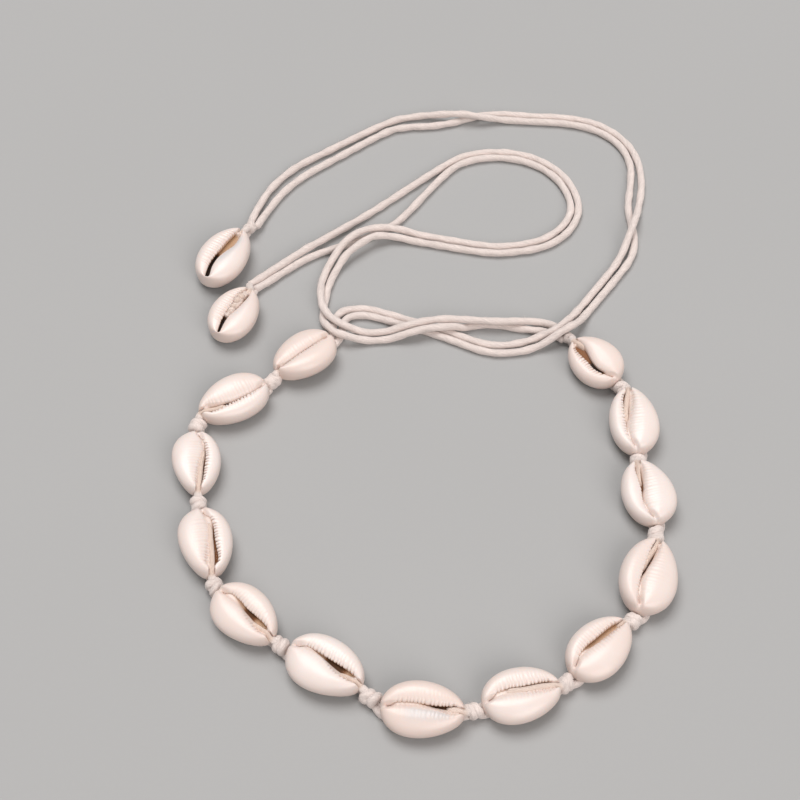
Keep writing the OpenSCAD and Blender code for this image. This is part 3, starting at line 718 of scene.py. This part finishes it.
def fluff(path, radius, per_metre, seed):
    """Loose fibres that stand off a strand."""
    draw = random.Random(seed)
    way, side, top = frames(path)
    count = max(1, int(length_of(path) * per_metre))
    fibre = fibre_mesh()
    shape = np.array([v.co for v in fibre.vertices])
    t = shape[:, 0:1]
    bm = bmesh.new()
    for _ in range(count):
        bm.from_mesh(fibre)
    spots = np.empty((count, len(shape), 3))
    lays = np.empty((count, len(shape), 3))
    for n in range(count):
        k = draw.randrange(1, len(path) - 1)
        turn = draw.uniform(0, 2 * math.pi)
        out = side[k] * math.cos(turn) + top[k] * math.sin(turn)
        round_about = top[k] * math.cos(turn) - side[k] * math.sin(turn)
        lean = draw.uniform(0.25, 0.9)
        run = out * lean + way[k] * draw.uniform(-1, 1) + round_about * draw.uniform(-1, 1)
        run /= np.linalg.norm(run)
        length = draw.uniform(*FIBRE_LONG)
        bend = (way[k] * draw.uniform(-1, 1) + round_about * draw.uniform(-1, 1)
                - out * draw.uniform(0, 0.6)) * length * 0.6
        across = np.cross(run, way[k] + 0.01)
        across /= np.linalg.norm(across)
        above = np.cross(run, across)
        spots[n] = (path[k] + out * radius * 0.92 + run * length * t + bend * t * t
                    + (across * shape[:, 1:2] + above * shape[:, 2:3])
                    * draw.uniform(*FIBRE_THICK))
        lays[n] = (math.cos(turn), math.sin(turn), draw.uniform(0, 50))
    spots, lays = spots.reshape(-1, 3), lays.reshape(-1, 3)
    spots[:, 2] = np.maximum(spots[:, 2], FIBRE_LOW)
    shaped(bm, spots, lay=lays)
    return bm


def strand_bmesh(path, radius, sides, pitch, seed, squeeze=None, uneven=0.012, fibres=0):
    """A strand of cord along an even path: a grid rolled into a tube with closed round tips."""
    draw = random.Random(seed)
    _, side, top = frames(path)
    count = len(path)
    if squeeze is None:
        squeeze = np.ones(count)
    gone = walked(path)
    tip = np.minimum(gone, gone[-1] - gone) / radius
    round_tip = np.sqrt(np.clip(1 - (1 - np.clip(tip * 2.5, 0, 1)) ** 2, 0, 1))
    wobble = sum(uneven * np.sin(gone * draw.uniform(300, 1500) + draw.uniform(0, 6))
                 for _ in range(4))
    bm, i, j = loom(count - 1, sides)
    turn = 2 * np.pi * (j % sides) / sides
    fibre = turn - 2 * np.pi * gone[i] / pitch
    lobes = uneven * (1.6 * np.cos(2 * fibre + 1) + np.cos(5 * fibre + gone[i] * 700))
    r = radius * round_tip[i] * (1 + wobble[i] + lobes)
    spots = (path[i] + side[i] * (r * squeeze[i] * np.cos(turn))[:, None]
             + top[i] * (r * np.sin(turn))[:, None])
    lay = np.stack([np.cos(fibre), np.sin(fibre), gone[i] / radius + draw.uniform(0, 50)], -1)
    # How much the slit squeezes the strand, which the cotton reads to paint it warm as shade.
    shaped(bm, spots, lay=lay, pressed=np.clip((1 - squeeze[i]) / 0.3, 0, 1))
    if fibres:
        add_mesh(bm, fluff(path, radius, fibres, seed + 900))
    return bm


def on_table(path, radius):
    path = path.copy()
    path[:, 2] = np.maximum(path[:, 2], radius)
    return path


def knot_place(before, after, knots):
    """Middle, heading and size of the knot between two cowries."""
    head, tail = before.tip(1), after.tip(-1)
    d = tail - head
    h = before.row.heading
    across = least_turn(math.degrees(math.atan2(d[1], d[0])) - h)
    turn = least_turn(after.row.heading - h)
    length = min(knots.length, float(np.linalg.norm(d)) - 2 * KNOT_ROOM)
    return dict(spot=tuple((head + tail) / 2), heading=h + (across + turn / 2) / 2,
                d=knots.thickness, l=length, z=KNOT_Z)


def knot_face(knot, side, z, beside=0.0, into_it=INTO_KNOT):
    """A point at a knot's face or inside it, at a height and to the side of the knot's axis."""
    x, y = turned(side * (knot["l"] / 2 - into_it), beside, knot["heading"])
    return np.array([knot["spot"][0] + x, knot["spot"][1] + y, z])


def make_knot(name, node, knot, turns, seed, context, nub=None):
    """A knot: a soft core with fat turns of strand slung round it, each in its own slant."""
    pitch = context.scene.choker_cord.pitch
    draw = random.Random(seed)
    scale = knot["d"] / DRAWN_KNOT
    middle = np.array([*knot["spot"], knot["z"]])
    axis = np.array([*turned(1, 0, knot["heading"]), 0])
    half = knot["l"] / 2
    core = evenly(middle + axis * np.linspace(-half, half, 16)[:, None], TURN_STEP)
    bm = strand_bmesh(core, KNOT_CORE * scale, STRAND_SIDES, pitch, seed, uneven=0.04)
    for number, (shift, slant, share) in enumerate(turns):
        fat = KNOT_TURN * scale * share
        reach = knot["d"] / 2 - fat
        normal = np.array([*turned(1, 0, knot["heading"] + slant), 0])
        level = np.cross((0, 0, 1), normal)
        t = np.linspace(-1, 1, 80)
        angle = math.pi / 2 + 1.12 * math.pi * t + draw.uniform(-0.3, 0.3)
        out = reach * (0.5 + 0.5 * ramp((1 - np.abs(t)) / 0.2))
        drift = TURN_DRIFT * scale * t + TURN_SWAY * np.sin(3 * angle + seed)
        path = (middle + axis * knot["l"] * shift + normal * drift[:, None]
                + level * (out * np.cos(angle))[:, None])
        path[:, 2] += out * np.sin(angle)
        add_mesh(bm, strand_bmesh(evenly(path, TURN_STEP), fat, STRAND_SIDES, pitch * 0.7,
                                  seed * 7 + number, uneven=0.02, fibres=FIBRES["turn"]))
    if nub:
        add_mesh(bm, strand_bmesh(evenly(spline(nub, 8), FINE_STEP), NUB_RADIUS, 16, pitch,
                                  seed + 5, uneven=0.03, fibres=FIBRES["turn"]))
    cord_piece(bm, name, node, context)


def strand_middle(shell, u):
    """Where the strand's middle is across the slit."""
    c = blend(0.5, shell.row.lean, ramp((0.9 - u) / max(0.2, 0.9 - shell.row.dive)))
    return shell.slit_middle(u) + shell.slit_half(u) * (2 * c - 1)


def front_strand(shell, start):
    """Over the notch at the head, into the slit and down till the lips hide it.

    Gives the points and where along the shell the last one is."""
    half = shell.long / 2
    top = shell.high * HEAD_LOW + shell.cord_r + GAP
    crossing = (half * OVER_NOTCH, float(strand_middle(shell, OVER_NOTCH)), top)
    points = [start, shell.placed(crossing)]
    for u in np.arange(IN_SLIT, -0.9, SLIT_PACE):
        edge = LIPS_HIGH * shell.high * float(shell.dome(u))
        sink = SUNK[0] + (SUNK[1] - SUNK[0]) * float(ramp((shell.row.dive + 0.12 - u) / 0.32))
        points.append(shell.placed((half * u, float(strand_middle(shell, u)), edge - sink)))
        if sink > HIDDEN:
            break
    return points, u


def lower_strand(shell, u, side, finish, aside):
    """From the inside of a cowrie under its sawn back and out below its tail."""
    low = -shell.cord_r - GAP
    places = [x for x in UNDER_SHELL if x < 0 and x < u / 2 - 0.12]
    points = [shell.placed((shell.long * x, side - aside * (x == places[-1]), low))
              for x in places]
    return points + finish


def pinched(path, shell):
    """How much the slit squeezes a strand's width at each point of its path."""
    x, _ = turned(path[:, 0] - shell.row.x, path[:, 1] - shell.row.y, -shell.row.heading)
    u = x / (shell.long / 2)
    inside = ramp((1.04 - u) / 0.12) * (path[:, 2] > shell.lift)
    room = (shell.slit_half(np.clip(u, -1, 1)) + GIVE) / shell.cord_r
    widest = PINCH[1] - 0.3 * abs(2 * shell.row.lean - 1)
    return blend(1.0, np.clip(room, PINCH[0], widest), inside)


def into(route):
    """From beside the start of a tie's strand into it."""
    start, then = np.array(route[0]), np.array(route[1])
    return [start + (0, -END_GAP, 0), blend(start, then, 0.4)]


def past(end, inner, reach):
    """A point this far past the end of a line, on from its point before."""
    end, inner = np.array(end), np.array(inner)
    return end + reach * (end - inner) / np.linalg.norm(end - inner)


def joined_strands(name, node, shell, front, back, context, seed):
    """The two strands at a cowrie as one piece. The slit squeezes the front one."""
    cord = context.scene.choker_cord
    radius = cord.thickness / 2
    bm = bmesh.new()
    for k, points in enumerate((front, back)):
        path = evenly(on_table(spline(points, 8), radius), STRAND_STEP)
        squeeze = pinched(path, shell) if points is front else None
        add_mesh(bm, strand_bmesh(path, radius, STRAND_SIDES, cord.pitch, seed + k, squeeze,
                                  fibres=FIBRES["strand"]))
    cord_piece(bm, name, node, context)


class Tree:
    """A node tree, with short ways to add and join its nodes."""

    def __init__(self, tree):
        self.nodes, self.links = tree.nodes, tree.links

    def put(self, socket, value):
        if isinstance(value, NodeSocket):
            self.links.new(value, socket)
        else:
            socket.default_value = value

    def fill(self, node, **inputs):
        """Sets or links a node's inputs, named with _ for a space."""
        for name, value in inputs.items():
            self.put(node.inputs[name.replace("_", " ")], value)
        return node

    def add(self, kind, **inputs):
        return self.fill(self.nodes.new(kind), **inputs)


def grain_group():
    """Soft mottling and a fine grain, which every finish uses at its own scale."""
    group = bpy.data.node_groups.get("Mottling")
    if group:
        return group
    group = bpy.data.node_groups.new("Mottling", "ShaderNodeTree")
    for way, kind, names in (("INPUT", "NodeSocketVector", ["Vector"]),
                             ("INPUT", "NodeSocketFloat",
                              ["Patch scale", "Grain scale", "Grain share"]),
                             ("OUTPUT", "NodeSocketFloat", ["Mask", "Grain"])):
        for name in names:
            group.interface.new_socket(name, in_out=way, socket_type=kind)
    tree = Tree(group)
    start, end = tree.add("NodeGroupInput").outputs, tree.add("NodeGroupOutput").inputs
    patch = tree.add("ShaderNodeTexNoise", Vector=start["Vector"], Scale=start["Patch scale"],
                     Detail=2)
    grain = tree.add("ShaderNodeTexNoise", Vector=start["Vector"], Scale=start["Grain scale"],
                     Detail=4)
    mask = tree.add("ShaderNodeMix", Factor=start["Grain share"], A=patch.outputs["Fac"],
                    B=grain.outputs["Fac"])
    tree.put(end["Mask"], mask.outputs["Result"])
    tree.put(end["Grain"], grain.outputs["Fac"])
    return group


class Finish(Tree):
    """A new material and the steps that its colours go through."""

    def __init__(self, name):
        self.material = bpy.data.materials.new(name)
        self.material.use_nodes = True
        super().__init__(self.material.node_tree)

    def attribute(self, name, output="Fac"):
        node = self.add("ShaderNodeAttribute")
        node.attribute_name = name
        return node.outputs[output]

    def mottling(self, vector, patch, grain, share):
        node = self.add("ShaderNodeGroup")
        node.node_tree = grain_group()
        self.fill(node, Vector=vector, Patch_scale=patch, Grain_scale=grain, Grain_share=share)
        return node.outputs["Mask"], node.outputs["Grain"]

    def mixed(self, factor, a, b):
        node = self.add("ShaderNodeMix", Factor=factor)
        node.data_type = "RGBA"
        for socket, value in zip(node.inputs[6:8], (a, b)):
            self.put(socket, value if isinstance(value, NodeSocket) else (*value, 1))
        return node.outputs[2]

    def shared(self, factor, a, b):
        return self.add("ShaderNodeMix", Factor=factor, A=a, B=b).outputs["Result"]

    def sized(self, value, low, high, start=0, end=1):
        return self.add("ShaderNodeMapRange", Value=value, From_Min=low, From_Max=high,
                        To_Min=start, To_Max=end).outputs["Result"]

    def shaded(self, grain, strength, distance, **inputs):
        """Sets the shader, with a bump from the grain, and gives the material."""
        bump = self.add("ShaderNodeBump", Height=grain, Strength=strength, Distance=distance)
        self.fill(self.nodes["Principled BSDF"], Normal=bump.outputs["Normal"], **inputs)
        return self.material


def darker(colour, share):
    return tuple(share * v for v in colour)


def shell_material(context):
    """Bleached cowrie: cream crown fading to peach flanks, partly painted shade, peach rib grooves
    and darker tooth pits as painted shade, tan inside painted dark as shade deep in the slit, satin
    gloss.
    """
    found = bpy.data.materials.get("cowrie")
    if found:
        return found
    c = context.scene.choker_cowries
    f = Finish("cowrie")
    where = f.add("ShaderNodeTexCoord").outputs["Object"]
    mask, grain = f.mottling(where, 160, 1800, 0.15)
    # Cream on the crown fades to peach down the flanks: partly the shell's own warmer tone, partly
    # painted shade.
    colour = f.mixed(f.sized(f.attribute("crown"), 0.35, 0.95, 0.6, 0), c.cream, c.peach)
    colour = f.mixed(f.sized(mask, 0.35, 0.75, 0, 0.3), colour, c.peach)
    for name, low, high, share, tone in (
            # The rib grooves are painted peach as shade; warm is each shell's own tone.
            ("warm", 0, 1, 0.55, c.peach), ("groove_shade", 0.1, 0.9, 0.6, c.peach),
            # The grey blue beside the slit is the shell's own colour on the end cowries and partly
            # a painted reflection on cowrie 7.
            ("pearl", 0, 1, 0.7, c.pearl), ("inward", 0, 1, 1, c.tan),
            # The tooth pits are painted a darker tan as shade.
            ("pit", 0.1, 0.9, 0.8, darker(c.tan, 0.48)), ("deep_shade", 0, 0.5, 1, c.shade_brown),
            # The two steps for the deep inside paint brown, then near black, as shade.
            ("deep_shade", 0.5, 1, 1, darker(c.shade_brown, 0.1))):
        colour = f.mixed(f.sized(f.attribute(name), low, high, 0, share), colour, tone)
    inside = f.sized(f.attribute("inward"), 0.05, 0.5)
    satin = f.sized(mask, 0.2, 0.8, 0.32, 0.46)
    return f.shaded(
        grain, 0.12, 0.00008, Base_Color=colour, Roughness=f.shared(inside, satin, 0.8),
        Coat_Weight=f.shared(inside, 0.22, 0), Coat_Roughness=0.16, Subsurface_Weight=0.12,
        Subsurface_Radius=(1, 0.6, 0.4), Subsurface_Scale=0.001)


def cotton_material(context):
    """Natural cotton: matt, with fine fibres that wind along the strand."""
    found = bpy.data.materials.get("cotton")
    if found:
        return found
    cord = context.scene.choker_cord
    f = Finish("cotton")
    stretch = f.add("ShaderNodeMapping", Vector=f.attribute("lay", "Vector"), Scale=(1, 1, 0.16))
    mask, grain = f.mottling(stretch.outputs["Vector"], 2.2, 9, 0.55)
    colour = f.mixed(f.sized(mask, 0.35, 0.65), darker(cord.cotton, 0.8), cord.cotton)
    # Where a slit squeezes the strand, painted warm shade.
    colour = f.mixed(f.sized(f.attribute("pressed"), 0, 1, 0, 0.8), colour, cord.warm)
    return f.shaded(grain, 0.9, 0.00028, Base_Color=colour, Roughness=0.9, Sheen_Weight=0.35,
                    Sheen_Roughness=0.5, Specular_IOR_Level=0.2)


def floor_material(context):
    """Plain pale floor."""
    stage = context.scene.choker_stage
    f = Finish("floor")
    where = f.add("ShaderNodeTexCoord").outputs["Object"]
    mask, grain = f.mottling(where, 12, 900, 0.4)
    colour = f.mixed(mask, darker(stage.floor, 0.95), stage.floor)
    return f.shaded(grain, 0.1, 0.0001, Base_Color=colour, Roughness=0.85)


class CHOKER_OT_camera(Operator):
    """Place the camera as the photograph's was"""

    bl_idname = "choker.camera"
    bl_label = "Camera"

    def execute(self, context):
        data = bpy.data.cameras.new("camera")
        data.lens = CAMERA_LENS
        data.sensor_width = CAMERA_SENSOR
        camera = linked("camera", data)
        aimed(camera, CAMERA_PLACE, CAMERA_AIM)
        context.scene.camera = camera
        return {"FINISHED"}


class CHOKER_OT_ties(Operator):
    """Lay the four strands of the two ties"""

    bl_idname = "choker.ties"
    bl_label = "Ties"

    def execute(self, context):
        cord = context.scene.choker_cord
        for seed, (name, route) in enumerate(TIES.items(), SEEDS["ties"]):
            path = tie_path(route, cord, TIE_REACH[name.split("_")[1]])
            bm = strand_bmesh(path, cord.thickness / 2, TIE_SIDES, cord.pitch, seed,
                              uneven=0.024, fibres=FIBRES["tie"])
            cord_piece(bm, name + "_strand", name, context)
        return {"FINISHED"}


def tie_path(route, cord, more=(0, 0)):
    """The path of a tie's strand, as much longer as each end reaches into what holds it."""
    path = evenly(on_table(spline(route, 10), cord.thickness / 2), TIE_STEP)
    if any(more):
        ends = past(path[0], path[1], more[0]), past(path[-1], path[-2], more[1])
        path = evenly(np.vstack([ends[0], path, ends[1]]), TIE_STEP)
    return path


class CHOKER_OT_tie_ends(Operator):
    """Make the cowries at the ends of the ties, and what holds them"""

    bl_idname = "choker.tie_ends"
    bl_label = "Tie ends"

    def execute(self, context):
        cowries, cord = context.scene.choker_cowries, context.scene.choker_cord
        for side, row in (("left", LEFT_SHELL), ("right", RIGHT_SHELL)):
            make_cowrie(f"{side}_end_cowrie", f"tie_{side}_shell", row, SEEDS[side + " cowrie"],
                        context)
        make_knot("left_end_knot", "tie_left_knot", LEFT_KNOT, LEFT_TURNS, SEEDS["left knot"],
                  context, LEFT_NUB)
        left = Cowrie(LEFT_SHELL, cowries, cord)
        right = Cowrie(RIGHT_SHELL, cowries, cord)
        upper, lower = (knot_face(LEFT_KNOT, -1, LEFT_KNOT["z"] + s * left.side,
                                  into_it=INTO_LEFT_KNOT) for s in (1, -1))
        joined_strands("left_end_strands", "tie_left_ends", left, front_strand(left, upper)[0],
                       back_strand(left, lower), context, SEEDS["left strands"])
        lower, upper = (past(*TIES["tie_right_" + strand][:-3:-1], END_GAP)
                        for strand in ("lower", "upper"))
        joined_strands("right_end_strands", "tie_right_ends", right,
                       front_strand(right, lower)[0], back_strand(right, upper), context,
                       SEEDS["right strands"])
        make_stop("right_end_stop", "tie_right_stop", right, context)
        for name, route in TIES.items():
            side = name.split("_")[1]
            path = tie_path(route, cord)
        return {"FINISHED"}


def back_strand(shell, start):
    """Under the shell from the head to its middle."""
    low = -shell.cord_r - GAP
    return [
        start,
        shell.placed((shell.long * UNDER_HEAD, 0, low)),
        shell.placed((shell.long * UNDER_MIDDLE, -shell.side / 2, low)),
        shell.placed((shell.long * UNDER_SHELL[0], -shell.side, low)),
    ]


def make_stop(name, node, shell, context):
    """The frayed, lumpy knot that fills the upper slit of the right tie's cowrie."""
    pitch = context.scene.choker_cord.pitch / 2
    half = shell.long / 2
    core = [shell.placed((half * u, float(shell.slit_middle(u)) + STOP_ASIDE, shell.high * rise))
            for u, rise in STOP_CORE]
    path = evenly(spline(core, 8), FINE_STEP)
    bm = strand_bmesh(path, STOP_RADIUS, 18, pitch, SEEDS["stop"], np.full(len(path), STOP_SQUEEZE),
                      uneven=0.05, fibres=FIBRES["stop"])
    t = np.linspace(-1, 1, 40)
    angle = math.pi / 2 + math.pi * 1.1 * t
    for number, (u, over, rise, slant, fat) in enumerate(STOP_LUMPS, 1):
        way_x, way_y = turned(1, 0, slant)
        local = np.stack([
            half * u + LUMP_REACH * np.cos(angle) * way_x + 0.0002 * t,
            shell.slit_middle(u) + over + LUMP_REACH * np.cos(angle) * way_y,
            shell.high * (STOP_HIGH + rise) + LUMP_REACH * 0.7 * np.sin(angle)], -1)
        path = evenly(shell.placed(local), FINE_STEP)
        add_mesh(bm, strand_bmesh(path, fat, 14, pitch, SEEDS["stop"] + number,
                                  np.full(len(path), LUMP_SQUEEZE), uneven=0.05,
                                  fibres=FIBRES["lump"]))
    cord_piece(bm, name, node, context)


class CHOKER_OT_cowries(Operator):
    """Make the cowries of the collar"""

    bl_idname = "choker.cowries"
    bl_label = "Cowries"

    def execute(self, context):
        for number, row in enumerate(COLLAR, 1):
            make_cowrie(f"cowrie_{number:02d}", f"shell_{number:02d}", row, number, context)
        return {"FINISHED"}


def collar(context):
    """The measures of the collar's cowries and of the knots between them."""
    scene = context.scene
    shells = [Cowrie(row, scene.choker_cowries, scene.choker_cord) for row in COLLAR]
    return shells, [knot_place(a, b, scene.choker_knots) for a, b in zip(shells, shells[1:])]


class CHOKER_OT_strands(Operator):
    """Thread the two strands of cord through and under each cowrie of the collar"""

    bl_idname = "choker.strands"
    bl_label = "Strands"

    def execute(self, context):
        shells, places = collar(context)
        for i, shell in enumerate(shells):
            if i < len(places):
                heads = [knot_face(places[i], -1, KNOT_Z + s * HEAD_RISE) for s in (1, -1)]
            else:
                heads = [knot_face(END_KNOT, -1, END_KNOT["z"] + s * shell.side)
                         for s in (1, -1)]
            if i > 0:
                tails = [[knot_face(places[i - 1], 1, KNOT_Z - TAIL_DROP, 0.5 * s * shell.side)]
                         for s in (1, -1)]
            else:
                tails = [into(TIES["tie_left_lower"]), into(TIES["tie_left_upper"])]
            front, u = front_strand(shell, heads[0])
            aside = (0.5 if i else 0.9) * shell.side
            front += lower_strand(shell, u, shell.side, tails[0], aside)
            back = back_strand(shell, heads[1]) + lower_strand(
                shell, 1, -shell.side, tails[1], aside)
            joined_strands(f"strands_{i + 1:02d}", f"cord_{i + 1:02d}", shell, front, back,
                           context, SEEDS["strands"] + 2 * i)
        return {"FINISHED"}


class CHOKER_OT_knots(Operator):
    """Tie the knots between the cowries and the one after the last cowrie"""

    bl_idname = "choker.knots"
    bl_label = "Knots"

    def execute(self, context):
        _, places = collar(context)
        for i, (place, turns) in enumerate(zip(places, KNOT_TURNS)):
            make_knot(f"knot_turns_{i + 1:02d}", f"knot_{i + 1:02d}", place, turns,
                      SEEDS["knots"] + i, context)
        make_knot("end_knot_turns", "end_knot", END_KNOT, END_TURNS, SEEDS["end knot"], context)
        return {"FINISHED"}


class CHOKER_OT_stage(Operator):
    """Lay the floor and hang the lights"""

    bl_idname = "choker.stage"
    bl_label = "Stage"

    def execute(self, context):
        stage = context.scene.choker_stage
        bm = bmesh.new()
        bmesh.ops.create_grid(bm, x_segments=1, y_segments=1, size=FLOOR_REACH)
        floor = linked("floor", mesh_of(bm, "floor"))
        floor.data.materials.append(floor_material(context))
        for name, place, spread, strength, colour in (
            ("key", (-0.14, 0.30, 0.78), 39, stage.key, (1.0, 0.99, 0.98)),
            ("fill", (0.30, -0.45, 0.45), 45, stage.fill, (1.0, 0.95, 0.92)),
        ):
            data = bpy.data.lights.new(name, "SUN")
            data.angle = math.radians(spread)
            data.energy = strength
            data.color = colour
            aimed(linked(name, data), place, LIGHT_AIM)
        world = bpy.data.worlds.new("room")
        world.use_nodes = True
        tree = Tree(world.node_tree)
        tree.fill(tree.nodes["Background"], Color=(1, 0.975, 0.96, 1), Strength=ROOM_LIGHT)
        context.scene.world = world
        context.scene.view_settings.view_transform = "Standard"
        return {"FINISHED"}


class CHOKER_PT_panel(Panel):
    """Steps and settings of the choker"""

    bl_label = "Shell choker"
    bl_idname = "CHOKER_PT_panel"
    bl_space_type = "VIEW_3D"
    bl_region_type = "UI"
    bl_category = "Choker"

    def draw(self, context):
        layout = self.layout
        for key in SETTINGS:
            box = layout.box()
            group = getattr(context.scene, key)
            for name in group.__annotations__:
                box.prop(group, name)
        for step in STEPS:
            layout.operator(step.bl_idname)


SETTINGS = {
    "choker_cowries": ChokerCowries,
    "choker_cord": ChokerCord,
    "choker_knots": ChokerKnots,
    "choker_stage": ChokerStage,
}
STEPS = (CHOKER_OT_camera, CHOKER_OT_ties, CHOKER_OT_tie_ends, CHOKER_OT_cowries,
         CHOKER_OT_strands, CHOKER_OT_knots, CHOKER_OT_stage)


def register():
    for cls in (*SETTINGS.values(), *STEPS, CHOKER_PT_panel):
        bpy.utils.register_class(cls)
    for key, cls in SETTINGS.items():
        setattr(bpy.types.Scene, key, PointerProperty(type=cls))


def unregister():
    for key in SETTINGS:
        delattr(bpy.types.Scene, key)
    for cls in reversed((*SETTINGS.values(), *STEPS, CHOKER_PT_panel)):
        bpy.utils.unregister_class(cls)


def main():
    register()
    bpy.ops.choker.camera()
    bpy.ops.choker.ties()
    bpy.ops.choker.tie_ends()
    bpy.ops.choker.cowries()
    bpy.ops.choker.strands()
    bpy.ops.choker.knots()
    bpy.ops.choker.stage()


if __name__ == "__main__":
    main()
